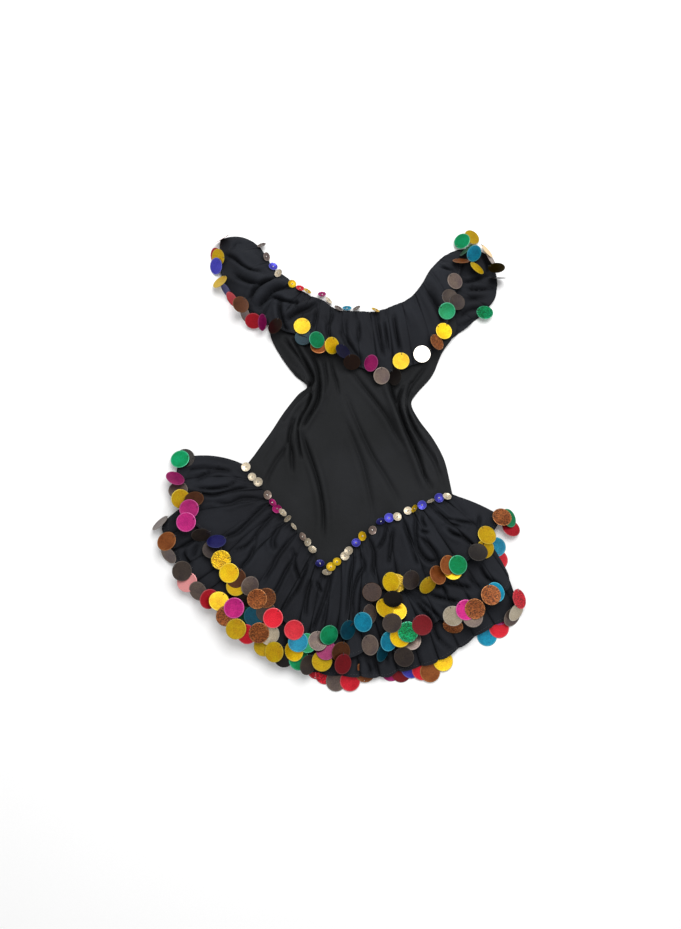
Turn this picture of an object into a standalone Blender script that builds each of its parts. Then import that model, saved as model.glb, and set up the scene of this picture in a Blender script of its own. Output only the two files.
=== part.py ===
"""Off-shoulder dance dress in black knit, laid flat on a surface with its front up.

X runs to the right of the picture, Y towards the neckline and Z up from the surface. Every piece of
cloth is a closed wall. Each is laid on the pieces below it and lifted there by its own folds, from the
back flounces on the surface up to the front ones.
"""
import math

import bpy
import numpy as np
from mathutils import Vector
from mathutils.bvhtree import BVHTree

MM = 0.001

# Driving sizes, in millimetres
WALL = 2.0
SEAM_GAP = 0.4
SEAM_LAP = 7.0
HIDDEN_HEM_INSET = 2.0
BODY_AIR = 2.5

# The middle of the lay, in the tables' millimetres, which becomes the part's origin
ORIGIN_X = -4.5
ORIGIN_Y = 30.4

# A piece feels the cloth below it at this many steps a cell, and this far round each step
CONTACT_STEPS = 3
CONTACT_REACH = 3.0

# Rays that feel the cloth below start at this height
ABOVE = 500.0
DOWN = Vector((0.0, 0.0, -1.0))

# Knit colours, linear
BODY_COLOUR = (0.027, 0.028, 0.030)
FLOUNCE_COLOUR = (0.022, 0.023, 0.029)

# Neckline and the two hems of its flounce, from the left shoulder to the right one.
# PUFF is how high the front flounce stands off the cloth below it, half way down.
NECK_COLUMNS = ("neck_x", "neck_y", "hem_x", "hem_y", "back_x", "back_y", "puff")
NECK_ROWS = (
    (-160, 418, -227, 424, -224, 420, 0),
    (-150, 412, -219, 386, -215, 384, 9),
    (-138, 393, -212, 352, -208, 350, 15),
    (-122, 367, -198, 316, -194, 318, 16),
    (-101, 353, -170, 288, -166, 292, 13),
    (-80, 333, -140, 262, -134, 268, 8),
    (-58, 317, -95, 243, -88, 250, 4),
    (-34, 308, -50, 228, -44, 232, 3),
    (-8, 290, -5, 202, -4, 208, 3),
    (28, 286, 35, 176, 34, 190, 3),
    (65, 286, 78, 166, 80, 186, 3),
    (98, 297, 118, 176, 130, 196, 4),
    (128, 312, 160, 196, 176, 216, 6),
    (150, 337, 190, 240, 240, 262, 11),
    (168, 368, 206, 297, 284, 308, 14),
    (188, 391, 219, 345, 292, 350, 11),
    (208, 404, 228, 385, 280, 396, 0),
)

# Both edges of the body panels, from the neckline down to the hip seam.
SIDE_COLUMNS = ("left_x", "left_y", "right_x", "right_y")
SIDE_ROWS = (
    (-122, 367, 168, 368),
    (-129, 290, 203, 295),
    (-130, 244, 213, 250),
    (-112, 205, 187, 208),
    (-84, 166, 168, 165),
    (-61, 145, 140, 132),
    (-78, 128, 129, 111),
    (-103, 95, 142, 82),
    (-125, 60, 168, 45),
    (-150, 24, 188, 3),
    (-169, -5, 199, -56),
)

# Hip seam with its point, and the hems of the skirt flounces, from the left side to the right one.
SKIRT_COLUMNS = ("seam_x", "seam_y", "upper_x", "upper_y", "lower_x", "lower_y", "back_x", "back_y")
SKIRT_ROWS = (
    (-169, -5, -285, 10, -309, -100, -305, -102),
    (-155, -25, -291, -24, -314, -114, -306, -119),
    (-140, -45, -265, -62, -308, -131, -301, -136),
    (-126, -63, -271, -94, -297, -152, -291, -157),
    (-100, -92, -221, -141, -272, -201, -260, -206),
    (-79, -120, -185, -210, -211, -246, -203, -246),
    (-54, -152, -132, -248, -161, -292, -146, -309),
    (-34, -184, -69, -295, -95, -336, -70, -355),
    (-25, -194, -32, -300, -44, -342, -27, -366),
    (-13, -182, 8, -292, -4, -342, 8, -370),
    (20, -152, 53, -246, 59, -322, 76, -371),
    (38, -133, 86, -216, 89, -311, 102, -362),
    (81, -101, 150, -214, 154, -282, 171, -343),
    (131, -79, 211, -181, 224, -259, 245, -296),
    (179, -61, 262, -129, 288, -222, 302, -260),
    (199, -56, 286, -95, 290, -188, 296, -206),
)

# Main folds of the front panel: the three points that bend its ridge, its height and half width.
FOLD_COLUMNS = ("x1", "y1", "x2", "y2", "x3", "y3", "height", "width")
BODY_FOLD_ROWS = (
    (-92, 236, -48, 172, -40, 132, 9.0, 9.0),
    (-40, 132, -62, 78, -92, 30, 8.0, 10.0),
    (-112, 232, -64, 170, -58, 140, 4.5, 7.0),
    (-58, 140, -92, 90, -120, 40, 4.5, 8.0),
    (-26, 172, -24, 128, -34, 92, 5.5, 8.0),
    (-50, 34, -30, -30, -22, -140, 4.5, 11.0),
    (-76, 70, -72, 20, -78, -30, 3.5, 9.0),
    (40, 168, 84, 92, 122, 4, 4.5, 13.0),
    (6, 116, 50, 0, 88, -80, 3.0, 13.0),
    (76, 170, 90, 110, 116, 40, 8.5, 10.0),
    (116, 40, 138, -8, 152, -46, 6.0, 10.0),
    (106, 160, 112, 112, 128, 82, 6.5, 8.0),
    (128, 82, 158, 34, 178, -14, 5.0, 9.0),
)

# Folds that run across the gathers of the front neck flounce, in the same columns.
NECK_FOLD_ROWS = (
    (-206, 404, -175, 396, -146, 378, 5.0, 10.0),
    (-204, 370, -170, 364, -136, 352, 6.0, 9.0),
    (-182, 322, -146, 344, -114, 350, 6.0, 8.0),
    (-150, 288, -116, 308, -86, 326, 5.0, 8.0),
    (150, 316, 168, 282, 186, 262, 6.0, 10.0),
    (176, 372, 190, 340, 204, 318, 5.0, 9.0),
)

# Gathers, left to right. A row is the trough before a gather, as a share of the way across at the
# seam and at the hem, and the height of the gather's ridge at the hem. The last row closes the last.
GATHER_COLUMNS = ("at_seam", "at_hem", "height")
UPPER_GATHER_ROWS = (
    (0.000, 0.000, 5), (0.055, 0.050, 8), (0.100, 0.092, 6), (0.135, 0.130, 5), (0.160, 0.217, 9),
    (0.200, 0.255, 8), (0.258, 0.305, 10), (0.321, 0.354, 7), (0.365, 0.392, 8), (0.412, 0.425, 9),
    (0.450, 0.475, 6), (0.495, 0.500, 9), (0.555, 0.528, 7), (0.605, 0.555, 9), (0.655, 0.583, 8),
    (0.690, 0.615, 11), (0.722, 0.683, 9), (0.780, 0.722, 12), (0.822, 0.785, 8), (0.855, 0.822, 9),
    (0.880, 0.862, 12), (0.910, 0.912, 9), (0.950, 0.945, 7), (1.000, 1.000, 0),
)
LOWER_GATHER_ROWS = (
    (0.00, 0.000, 5), (0.04, 0.045, 8), (0.08, 0.080, 6), (0.12, 0.122, 9), (0.16, 0.170, 7),
    (0.20, 0.205, 9), (0.25, 0.250, 6), (0.30, 0.295, 10), (0.34, 0.335, 7), (0.38, 0.380, 9),
    (0.42, 0.425, 8), (0.46, 0.460, 10), (0.51, 0.500, 9), (0.55, 0.555, 11), (0.60, 0.610, 8),
    (0.64, 0.650, 10), (0.69, 0.700, 12), (0.73, 0.745, 9), (0.78, 0.785, 11), (0.82, 0.830, 8),
    (0.86, 0.870, 10), (0.90, 0.905, 7), (0.94, 0.940, 9), (0.97, 0.975, 5), (1.00, 1.000, 0),
)
BACK_GATHER_ROWS = (
    (0.00, 0.00, 3), (0.06, 0.05, 4), (0.12, 0.11, 3), (0.17, 0.17, 5), (0.23, 0.23, 3),
    (0.29, 0.29, 5), (0.34, 0.35, 4), (0.39, 0.39, 6), (0.44, 0.44, 5), (0.48, 0.48, 7),
    (0.53, 0.53, 6), (0.57, 0.57, 8), (0.62, 0.61, 6), (0.66, 0.65, 9), (0.70, 0.70, 7),
    (0.75, 0.74, 8), (0.79, 0.79, 6), (0.84, 0.83, 8), (0.88, 0.88, 5), (0.94, 0.94, 4),
    (1.00, 1.00, 0),
)
NECK_GATHER_ROWS = (
    (0.000, 0.000, 2), (0.060, 0.070, 2), (0.120, 0.130, 1), (0.180, 0.200, 3), (0.240, 0.260, 4),
    (0.300, 0.310, 5), (0.350, 0.360, 4), (0.400, 0.410, 6), (0.450, 0.455, 5), (0.495, 0.500, 4),
    (0.540, 0.545, 6), (0.585, 0.590, 4), (0.635, 0.630, 7), (0.690, 0.680, 5), (0.750, 0.740, 4),
    (0.810, 0.800, 5), (0.870, 0.870, 3), (0.930, 0.940, 2), (1.000, 1.000, 0),
)
NECK_BACK_GATHER_ROWS = (
    (0.00, 0.00, 0), (0.10, 0.10, 0), (0.20, 0.20, 0), (0.30, 0.30, 0), (0.40, 0.40, 0),
    (0.50, 0.50, 0), (0.58, 0.58, 1), (0.64, 0.64, 2), (0.70, 0.70, 3), (0.76, 0.76, 4),
    (0.81, 0.81, 3), (0.86, 0.86, 4), (0.91, 0.91, 3), (0.96, 0.96, 2), (1.00, 1.00, 0),
)

# Share of a gather's height that is left at the seam, and how fast it opens below it
UPPER_AT_SEAM = 0.22
NECK_AT_SEAM = 0.45
HIDDEN_AT_SEAM = 0.0
OPENING = 1.3
LATE_OPENING = 2.6
LAST_OPENING = 4.0

# Cells of the mesh across each gather
SAMPLES_PER_GATHER = 4

# How far a hem stands out where a gather rises, as a share of the gather's height
SCALLOP = 0.34

# How far each flounce's folded ends bow outwards, in millimetres: left end, right end
NECK_BOW = (12.0, 12.0)
UPPER_BOW = (12.0, 4.0)
LOWER_BOW = (4.0, 7.0)
BOW_SHARE = 0.12


def clear_scene():
    for item in list(bpy.data.objects):
        bpy.data.objects.remove(item, do_unlink=True)


def knit(name, colour):
    material = bpy.data.materials.new(name)
    material.use_nodes = True
    shader = material.node_tree.nodes["Principled BSDF"]
    shader.inputs["Base Color"].default_value = (*colour, 1.0)
    shader.inputs["Roughness"].default_value = 0.85
    shader.inputs["Metallic"].default_value = 0.0
    return material


def columns_of(names, rows, *wanted):
    """Picks named columns of a table as an array, a line for each row."""
    places = [names.index(name) for name in wanted]
    return np.array([[row[place] for place in places] for row in rows], float)


class Curve:
    """Smooth curve through the rows of a table."""

    def __init__(self, points):
        self.points = points
        self.steps = np.linspace(0.0, 1.0, 161)
        places = np.array([self.at(step) for step in self.steps])
        runs = np.linalg.norm(np.diff(places, axis=0), axis=1)
        self.lengths = np.concatenate(([0.0], np.cumsum(runs)))

    def at(self, share):
        """Point at a share of the rows, from 0 at the first to 1 at the last."""
        last = len(self.points) - 1
        place = min(max(share, 0.0), 1.0) * last
        start = min(int(place), last - 1)
        t = place - start
        before = self.points[max(start - 1, 0)]
        a = self.points[start]
        b = self.points[start + 1]
        after = self.points[min(start + 2, last)]
        bend = 2 * before - 5 * a + 4 * b - after
        twist = 3 * a - before - 3 * b + after
        return 0.5 * (2 * a + (b - before) * t + bend * t * t + twist * t ** 3)

    def even(self, share):
        """Share of the rows at a share of the curve's length."""
        return float(np.interp(share * self.lengths[-1], self.lengths, self.steps))


def ramp(value, low, high):
    """Smooth step from 0 at low to 1 at high."""
    t = min(max((value - low) / (high - low), 0.0), 1.0)
    return t * t * (3 - 2 * t)


class Gathers:
    """The gathers of one flounce, counted along it from 0 to 1."""

    def __init__(self, rows):
        self.count = len(rows) - 1
        self.places = np.linspace(0.0, 1.0, len(rows))
        self.at_seam = columns_of(GATHER_COLUMNS, rows, "at_seam").ravel()
        self.at_hem = columns_of(GATHER_COLUMNS, rows, "at_hem").ravel()
        self.heights = columns_of(GATHER_COLUMNS, rows, "height").ravel()

    def share(self, u, v):
        """Share of the way across for a count of gathers, at a share of the way down."""
        return float(np.interp(u, self.places, self.at_seam + (self.at_hem - self.at_seam) * v))

    def wave(self, u):
        """Height of the gather at a count, and its wave from 0 in a trough to 1 on the ridge."""
        place = min(max(u, 0.0), 1.0) * self.count
        index = min(int(place), self.count - 1)
        return self.heights[index], 0.5 - 0.5 * math.cos(math.tau * place)

    def lift(self, u, v, at_seam, opening=OPENING):
        """Lift of gathers that start small at the seam and open towards the hem."""
        height, wave = self.wave(u)
        return height * wave * (at_seam + (1 - at_seam) * v ** opening)


class Lay:
    """The pieces laid so far, each a surface that the next ones rest on."""

    def __init__(self):
        self.trees = {}

    def top_at(self, x, y, below):
        """Where a piece can rest at a point: just over the highest of the named pieces."""
        top = 0.0
        for across, along in ((0, 0), (1, 0), (-1, 0), (0, 1), (0, -1)):
            start = Vector((x + across * CONTACT_REACH, y + along * CONTACT_REACH, ABOVE))
            for name in below:
                hit = self.trees[name].ray_cast(start, DOWN)[0]
                if hit is not None:
                    top = max(top, hit.z + SEAM_GAP)
        return top

    def rest_of(self, plan, columns, rows, below):
        """Height of a grid that clears everything below each of its cells."""
        if not below:
            return np.zeros((columns + 1, rows + 1))
        reach = CONTACT_STEPS
        fine = np.array([[self.top_at(*plan(u, v), below) for v in np.linspace(0, 1, rows * reach + 1)]
                         for u in np.linspace(0, 1, columns * reach + 1)])
        padded = np.pad(fine, reach, mode="edge")
        rest = fine[::reach, ::reach]
        for i in range(2 * reach + 1):
            for j in range(2 * reach + 1):
                shifted = padded[i:i + fine.shape[0], j:j + fine.shape[1]]
                rest = np.maximum(rest, shifted[::reach, ::reach])
        return settle(rest)

    def cloth(self, name, material, plan, lift, cells, below):
        """Lays one piece: plan gives its place, lift its own height over what is below."""
        columns, rows = cells
        across = np.linspace(0.0, 1.0, columns + 1)
        down = np.linspace(0.0, 1.0, rows + 1)
        flat = np.array([[plan(u, v) for v in down] for u in across])
        rest = self.rest_of(plan, columns, rows, below)
        under = rest + np.array([[lift(u, v, *flat[i, j]) for j, v in enumerate(down)]
                                 for i, u in enumerate(across)])
        lower = np.dstack((flat, under))
        upper = np.dstack((flat, under + WALL))
        vertices, faces = wall_mesh(lower, upper)
        self.trees[name] = BVHTree.FromPolygons([Vector(v) for v in vertices], faces)
        build_object(name, material, vertices, faces)


def settle(rest):
    """Softens steps upwards only, so the cloth still clears what it lies on."""
    for _ in range(2):
        padded = np.pad(rest, 1, mode="edge")
        around = (padded[:-2, 1:-1] + padded[2:, 1:-1] + padded[1:-1, :-2] + padded[1:-1, 2:]) / 4
        rest = np.where(rest > 0.0, np.maximum(rest, around), rest)
    return rest


def wall_mesh(lower, upper):
    """Closed wall between two grids of the same size."""
    across, down = lower.shape[:2]
    vertices = [tuple(p) for p in upper.reshape(-1, 3)] + [tuple(p) for p in lower.reshape(-1, 3)]
    below = across * down

    def at(i, j):
        return i * down + j

    faces = []
    for i in range(across - 1):
        for j in range(down - 1):
            corner = at(i + 1, j + 1)
            for a, b, c in ((at(i, j), at(i + 1, j), corner), (at(i, j), corner, at(i, j + 1))):
                faces.append((a, c, b))
                faces.append((a + below, b + below, c + below))
    rim = [at(i, 0) for i in range(across)]
    rim += [at(across - 1, j) for j in range(1, down)]
    rim += [at(i, down - 1) for i in range(across - 2, -1, -1)]
    rim += [at(0, j) for j in range(down - 2, 0, -1)]
    for a, b in zip(rim, rim[1:] + rim[:1]):
        faces.append((a, b, b + below))
        faces.append((a, b + below, a + below))
    return vertices, faces


def build_object(name, material, vertices, faces):
    mesh = bpy.data.meshes.new(name)
    placed = [((x - ORIGIN_X) * MM, (y - ORIGIN_Y) * MM, z * MM) for x, y, z in vertices]
    mesh.from_pydata(placed, [], faces)
    mesh.materials.append(material)
    mesh.shade_smooth()
    mesh.set_sharp_from_angle(angle=math.radians(50))
    piece = bpy.data.objects.new(name, mesh)
    bpy.context.collection.objects.link(piece)


NECK = Curve(columns_of(NECK_COLUMNS, NECK_ROWS, "neck_x", "neck_y"))
NECK_HEM = Curve(columns_of(NECK_COLUMNS, NECK_ROWS, "hem_x", "hem_y"))
NECK_BACK_HEM = Curve(columns_of(NECK_COLUMNS, NECK_ROWS, "back_x", "back_y"))
PUFF = Curve(columns_of(NECK_COLUMNS, NECK_ROWS, "puff"))
LEFT_SIDE = Curve(columns_of(SIDE_COLUMNS, SIDE_ROWS, "left_x", "left_y"))
RIGHT_SIDE = Curve(columns_of(SIDE_COLUMNS, SIDE_ROWS, "right_x", "right_y"))
HIP_SEAM = Curve(columns_of(SKIRT_COLUMNS, SKIRT_ROWS, "seam_x", "seam_y"))
UPPER_HEM = Curve(columns_of(SKIRT_COLUMNS, SKIRT_ROWS, "upper_x", "upper_y"))
LOWER_HEM = Curve(columns_of(SKIRT_COLUMNS, SKIRT_ROWS, "lower_x", "lower_y"))
BACK_HEM = Curve(columns_of(SKIRT_COLUMNS, SKIRT_ROWS, "back_x", "back_y"))

UPPER_GATHERS = Gathers(UPPER_GATHER_ROWS)
LOWER_GATHERS = Gathers(LOWER_GATHER_ROWS)
BACK_GATHERS = Gathers(BACK_GATHER_ROWS)
NECK_GATHERS = Gathers(NECK_GATHER_ROWS)
NECK_BACK_GATHERS = Gathers(NECK_BACK_GATHER_ROWS)
BODY_FOLDS = columns_of(FOLD_COLUMNS, BODY_FOLD_ROWS, *FOLD_COLUMNS).tolist()
NECK_FOLDS = columns_of(FOLD_COLUMNS, NECK_FOLD_ROWS, *FOLD_COLUMNS).tolist()
FOLD_STEPS = [step / 12 for step in range(13)]
FOLD_END = 0.35
PUFF_REACH = 0.92

# Rows of the neck table between which the body panels meet the neckline.
BODY_NECK_FIRST = 3
BODY_NECK_LAST = 14


def flounce_plan(seam, hem, gathers, bow, lap=0.0, inset=0.0):
    """Plan of a flounce from its seam to its hem, whose edge stands out at each ridge. It starts
    a lap inside the seam and ends an inset short of the hem."""
    def plan(u, v):
        across = gathers.share(u, v)
        row = hem.even(across)
        top = seam.at(row)
        bottom = hem.at(row)
        run = (bottom - top) / np.linalg.norm(bottom - top)
        outwards = np.array([run[1], -run[0]])
        height, wave = gathers.wave(u)
        inside = ramp(across, 0.0, 0.04) * ramp(1 - across, 0.0, 0.04)
        scallop = SCALLOP * height * (wave - 0.5) * v * v * inside
        ends = bow[0] * ramp(BOW_SHARE - across, 0.0, BOW_SHARE)
        ends = ends - bow[1] * ramp(across, 1 - BOW_SHARE, 1.0)
        along = scallop - lap * (1 - v) - inset * v
        return top + (bottom - top) * v + run * along + outwards * ends * math.sin(math.pi * v)
    return plan


def body_plan(u, v):
    """Plan of a body panel: straight sections between its side edges, which follow the neckline
    at the top and the pointed hip seam at the bottom."""
    last = len(NECK_ROWS) - 1
    top = NECK.at((BODY_NECK_FIRST + (BODY_NECK_LAST - BODY_NECK_FIRST) * u) / last)
    bottom = HIP_SEAM.at(HIP_SEAM.even(u))
    top_sag = top - (1 - u) * LEFT_SIDE.at(0) - u * RIGHT_SIDE.at(0)
    bottom_sag = bottom - (1 - u) * LEFT_SIDE.at(1) - u * RIGHT_SIDE.at(1)
    section = (1 - u) * LEFT_SIDE.at(v) + u * RIGHT_SIDE.at(v)
    return section + top_sag * (1 - v) ** 3 + bottom_sag * v ** 2.5


def fold_height(x, y, folds):
    """Sum of the folds at a point. Each falls off from the nearest place on its ridge line."""
    total = 0.0
    for x1, y1, x2, y2, x3, y3, height, width in folds:
        nearest = math.inf
        where = 0.0
        for t in FOLD_STEPS:
            px = (1 - t) ** 2 * x1 + 2 * t * (1 - t) * x2 + t * t * x3
            py = (1 - t) ** 2 * y1 + 2 * t * (1 - t) * y2 + t * t * y3
            distance = math.hypot(x - px, y - py)
            if distance < nearest:
                nearest = distance
                where = t
        fade = FOLD_END + (1 - FOLD_END) * math.sin(math.pi * where) ** 0.5
        total += height * fade * math.exp(-(nearest / width) ** 2)
    return total


def body_front_lift(u, v, x, y):
    """Air under the front panel, none at its side seams, and its folds."""
    off_seam = ramp(v, 0.0, 0.12) * ramp(1 - v, 0.0, 0.08)
    air = BODY_AIR * ramp(u, 0.0, 0.10) * ramp(1 - u, 0.0, 0.10)
    folds = fold_height(x, y, BODY_FOLDS) * ramp(u, -0.02, 0.06) * ramp(1 - u, -0.02, 0.06)
    return (air + folds) * off_seam


def flat_lift(u, v, x, y):
    return 0.0


def neck_front_lift(u, v, x, y):
    """Puff of the shoulders, the folds that run along them and the gathers of the neckline."""
    down = math.sin(math.pi * min(v * PUFF_REACH, 1.0)) ** 0.8
    puff = float(PUFF.at(NECK_HEM.even(NECK_GATHERS.share(u, v)))[0]) * down
    folds = fold_height(x, y, NECK_FOLDS) * ramp(v, 0.0, 0.2)
    return max(puff, 0.0) + folds + NECK_GATHERS.lift(u, v, NECK_AT_SEAM)


def neck_back_lift(u, v, x, y):
    return NECK_BACK_GATHERS.lift(u, v, HIDDEN_AT_SEAM)


def upper_front_lift(u, v, x, y):
    return UPPER_GATHERS.lift(u, v, UPPER_AT_SEAM)


def lower_front_lift(u, v, x, y):
    return LOWER_GATHERS.lift(u, v, HIDDEN_AT_SEAM, LATE_OPENING)


def lower_back_lift(u, v, x, y):
    return BACK_GATHERS.lift(u, v, HIDDEN_AT_SEAM, LAST_OPENING)


def gathered_cells(gathers, rows):
    return SAMPLES_PER_GATHER * gathers.count, rows


def make_back(lay, body, flounce):
    """The back pieces, from the flounces on the surface up to the lower skirt flounce."""
    lay.cloth("neck_flounce_back", flounce,
              flounce_plan(NECK, NECK_BACK_HEM, NECK_BACK_GATHERS, NECK_BOW),
              neck_back_lift, gathered_cells(NECK_BACK_GATHERS, 5), ())
    lay.cloth("skirt_upper_back", flounce,
              flounce_plan(HIP_SEAM, UPPER_HEM, UPPER_GATHERS, UPPER_BOW, inset=HIDDEN_HEM_INSET),
              flat_lift, (2 * UPPER_GATHERS.count, 3), ())
    lay.cloth("body_back", body, body_plan, flat_lift, (16, 14),
              ("neck_flounce_back", "skirt_upper_back"))
    lay.cloth("skirt_lower_back", flounce,
              flounce_plan(HIP_SEAM, BACK_HEM, BACK_GATHERS, LOWER_BOW, lap=SEAM_LAP),
              lower_back_lift, gathered_cells(BACK_GATHERS, 6), ("skirt_upper_back", "body_back"))


def make_front(lay, body, flounce):
    """The front pieces, from the lower skirt flounce up to the neck flounce."""
    skirt_below = ("skirt_upper_back", "body_back", "skirt_lower_back")
    lay.cloth("skirt_lower_front", flounce,
              flounce_plan(HIP_SEAM, LOWER_HEM, LOWER_GATHERS, LOWER_BOW, lap=SEAM_LAP),
              lower_front_lift, gathered_cells(LOWER_GATHERS, 6), skirt_below)
    lay.cloth("body_front", body, body_plan, body_front_lift, (28, 22),
              ("neck_flounce_back", "body_back", "skirt_lower_back", "skirt_lower_front"))
    lay.cloth("skirt_upper_front", flounce,
              flounce_plan(HIP_SEAM, UPPER_HEM, UPPER_GATHERS, UPPER_BOW),
              upper_front_lift, gathered_cells(UPPER_GATHERS, 6),
              skirt_below + ("skirt_lower_front", "body_front"))
    lay.cloth("neck_flounce_front", flounce,
              flounce_plan(NECK, NECK_HEM, NECK_GATHERS, NECK_BOW),
              neck_front_lift, gathered_cells(NECK_GATHERS, 7),
              ("neck_flounce_back", "body_back", "body_front"))


def main():
    clear_scene()
    body = knit("black_knit", BODY_COLOUR)
    flounce = knit("black_flounce_knit", FLOUNCE_COLOUR)
    lay = Lay()
    make_back(lay, body, flounce)
    make_front(lay, body, flounce)


main()
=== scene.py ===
"""Looks of the dance dress: thin knit sheets, paillettes, cup sequins and sewing, laid flat on a floor.

The tables are in the plan's millimetres: x to the right of the picture, y towards the neckline, height
up from the floor. placed() turns them into the frame's metres. What is read off the photograph is in its
pixels, and is put on the cloth along the camera's own rays.
"""

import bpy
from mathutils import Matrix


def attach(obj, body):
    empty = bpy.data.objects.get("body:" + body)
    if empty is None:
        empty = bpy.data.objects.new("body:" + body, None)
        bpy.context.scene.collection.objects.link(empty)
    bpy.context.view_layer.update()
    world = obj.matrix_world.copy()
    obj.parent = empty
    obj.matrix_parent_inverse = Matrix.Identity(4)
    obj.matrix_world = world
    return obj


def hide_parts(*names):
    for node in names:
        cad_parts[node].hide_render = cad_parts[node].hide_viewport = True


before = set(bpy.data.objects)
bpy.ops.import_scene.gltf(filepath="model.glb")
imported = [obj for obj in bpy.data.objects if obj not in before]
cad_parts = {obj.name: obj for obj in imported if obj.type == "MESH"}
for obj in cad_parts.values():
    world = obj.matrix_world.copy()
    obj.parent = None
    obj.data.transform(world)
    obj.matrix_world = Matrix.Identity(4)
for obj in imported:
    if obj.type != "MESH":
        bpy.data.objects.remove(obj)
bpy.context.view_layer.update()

import math

import bpy
import numpy as np
from mathutils import Euler, Matrix, Vector
from mathutils.bvhtree import BVHTree

MM = 0.001

# The middle of the lay, in the plan's millimetres, which is the frame's origin
ORIGIN = (-4.5, 30.4)

# Camera: it looks down at the plan's zero point, leaning towards the hem
PHOTO_WIDTH = 681
PHOTO_HEIGHT = 929
CAMERA_DISTANCE = 1500.0
CAMERA_TILT = math.radians(10.0)
MM_PER_PIXEL = 1.8
SENSOR = 36.0

# Cloth: its thickness, the gap between two sheets, how far a skirt flounce laps inside its seam, how
# far short of the hem the hidden flounce ends, and the roll of a hem, in the last share of the way
# down and the last rows of cells
CLOTH = 1.0
LAYER_GAP = 0.4
SEAM_LAP = 7.0
HIDDEN_INSET = 2.0
HEM_ROLL = 1.1
HEM_SHARE = 0.93
HEM_ROWS = 8
CLOTH_SHARP = math.radians(60)

# Below this height a sheet settles softly onto what it lies on
SOFT_FLOOR = 0.5

# How high the sheets stand off what they lie on, besides their gathers and folds: the air under them,
# the rise of the skirt's hems, the puff of the right shoulder's back, and the bunched right side of
# the lower flounce, with the places on the plan between which it starts
BODY_AIR = 4.5
BACK_AIR = 0.4
HIDDEN_AIR = 0.3
UPPER_AIR = 2.0
LOWER_AIR = 1.5
LOWER_HEM_RISE = 2.5
BACK_HEM_RISE = 3.2
SHOULDER_PUFF = 5.0
RIGHT_LOFT = 3.5
RIGHT_LOFT_FROM = 135.0
RIGHT_LOFT_TO = 170.0

# Ripples of the front panel (height, swells across and down, seed), and the small tucks along its hip
# seam (height, tucks across, share of the way up that they reach)
BODY_RIPPLES = ((0.5, 14, 7, 61), (0.25, 34, 12, 62))
SEAM_TUCKS = (0.9, 46, 0.05)

# Gathers: how pointed the troughs are, how uneven the ridges, how narrow the troughs are drawn on the
# plan, how far the ridges lean and split, and the share of their height in the front skirt flounces
RIDGE_POWER = 0.75
RIDGE_UNEVEN = 0.30
GATHER_PINCH = 0.62
LEAN = 0.9
SPLIT = 0.16
SPLIT_TURN = 2.2
GATHER_SHARE = 0.86

# Fine pleats at a seam: how many in a gather, how uneven in length, and their depth and reach
PLEATS_PER_GATHER = 3
PLEAT_UNEVEN = 0.6
NECK_PLEATS = (2.0, 0.3)
UPPER_PLEATS = (2.4, 0.42)

# Listed creases: the scale of all depths, the soft ridges beside each trough and how far the
# cloth is drawn towards it, in half widths, the depth that is drawn in full, and how its ends fade
CREASE_DEPTH = 2.0
CREASE_RIDGE = 0.35
CREASE_RIDGE_AT = 2.4
CREASE_RIDGE_WIDTH = 1.3
CREASE_PINCH = 0.35
CREASE_PINCH_WIDTH = 1.7
CREASE_PINCH_DEPTH = 4.0
CREASE_FADE = 0.45

# The cut of each half sheet before it was gathered: width, length and flat area, in metres
NECK_CUT = (0.80, 0.12, 0.067)
BODY_CUT = (0.42, 0.56, 0.140)
UPPER_CUT = (0.90, 0.13, 0.092)
LOWER_CUT = (1.10, 0.20, 0.135)

# Paillettes. The profile goes from the edge inwards: share of the radius and of half the thickness.
PAILLETTE_RADIUS = {"neck": 15.4, "upper": 17.0, "lower": 17.4, "back": 17.4}
PAILLETTE_THICK = 0.45
PAILLETTE_PROFILE = ((1.0, 0.4), (0.985, 1.0), (0.955, 1.15), (0.93, 1.15), (0.91, 1.0))
DISC_SIDES = 36
DISC_SHARP = math.radians(30)
HOLE_RADIUS = 0.9
HOLE_INSET = 3.0

# Cup sequins, with their rings as shares of the radius, and the seed bead in each
SEQUIN_RADIUS = 7.8
SEQUIN_THICK = 0.4
SEQUIN_SIDES = 32
SEQUIN_RINGS = (1.0, 0.85, 0.65, 0.45, 0.30, 0.12)
CUP_DEPTH = 1.9
FLUTE = 0.22
FLUTES = 8
BEAD_RADIUS = 1.5
BEAD_MIDDLE = 0.58
BEAD_TUBE = 0.42
BEAD_HEIGHT = 0.62
BEAD_RINGS = 8
BEAD_SIDES = 12

# Thread: the stitch of a paillette, as steps outwards and up from its hole and from its edge, and the
# running stitches of a hem, which are a little inside its edge
THREAD_RADIUS = 0.3
THREAD_STEPS = 8
THREAD_SIDES = 6
STITCH_AT_HOLE = ((0.0, -0.6), (0.6, 0.75))
STITCH_AT_EDGE = ((0.7, 0.4), (1.6, 0.0))
STITCH_DROP = 3.0
STITCH_SINK = 0.3
HEM_THREAD_RADIUS = 0.22
HEM_STITCH = 2.6
HEM_STITCH_GAP = 2.2
HEM_STITCH_INSET = 4.0
HEM_STITCH_RISE = 0.25

# How unevenly the small pieces are sewn: the turn of each, in radians, the shade of a paillette and
# the size of a sequin
PAILLETTE_TURN = 0.5
SEQUIN_TURN = 3.0
PAILLETTE_SHADES = (0.9, 1.1)
SEQUIN_SIZES = (0.92, 1.1)

# Rays that feel the cloth below start at this height
ABOVE = 500.0
DOWN = Vector((0.0, 0.0, -1.0))

# Resting: the gap left under a disc, from which percent of its length one lies flat, how far off
# others are felt, where it is felt (shares of its radius and how many places there), and how many
# places on its rim others feel
DISC_GAP = 0.3
FLAT_LOOK = 94
NEARBY = 6.0
DISC_SAMPLES = ((0.35, 6), (0.7, 12), (1.0, 20))
RIM_SAMPLES = 24

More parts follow.
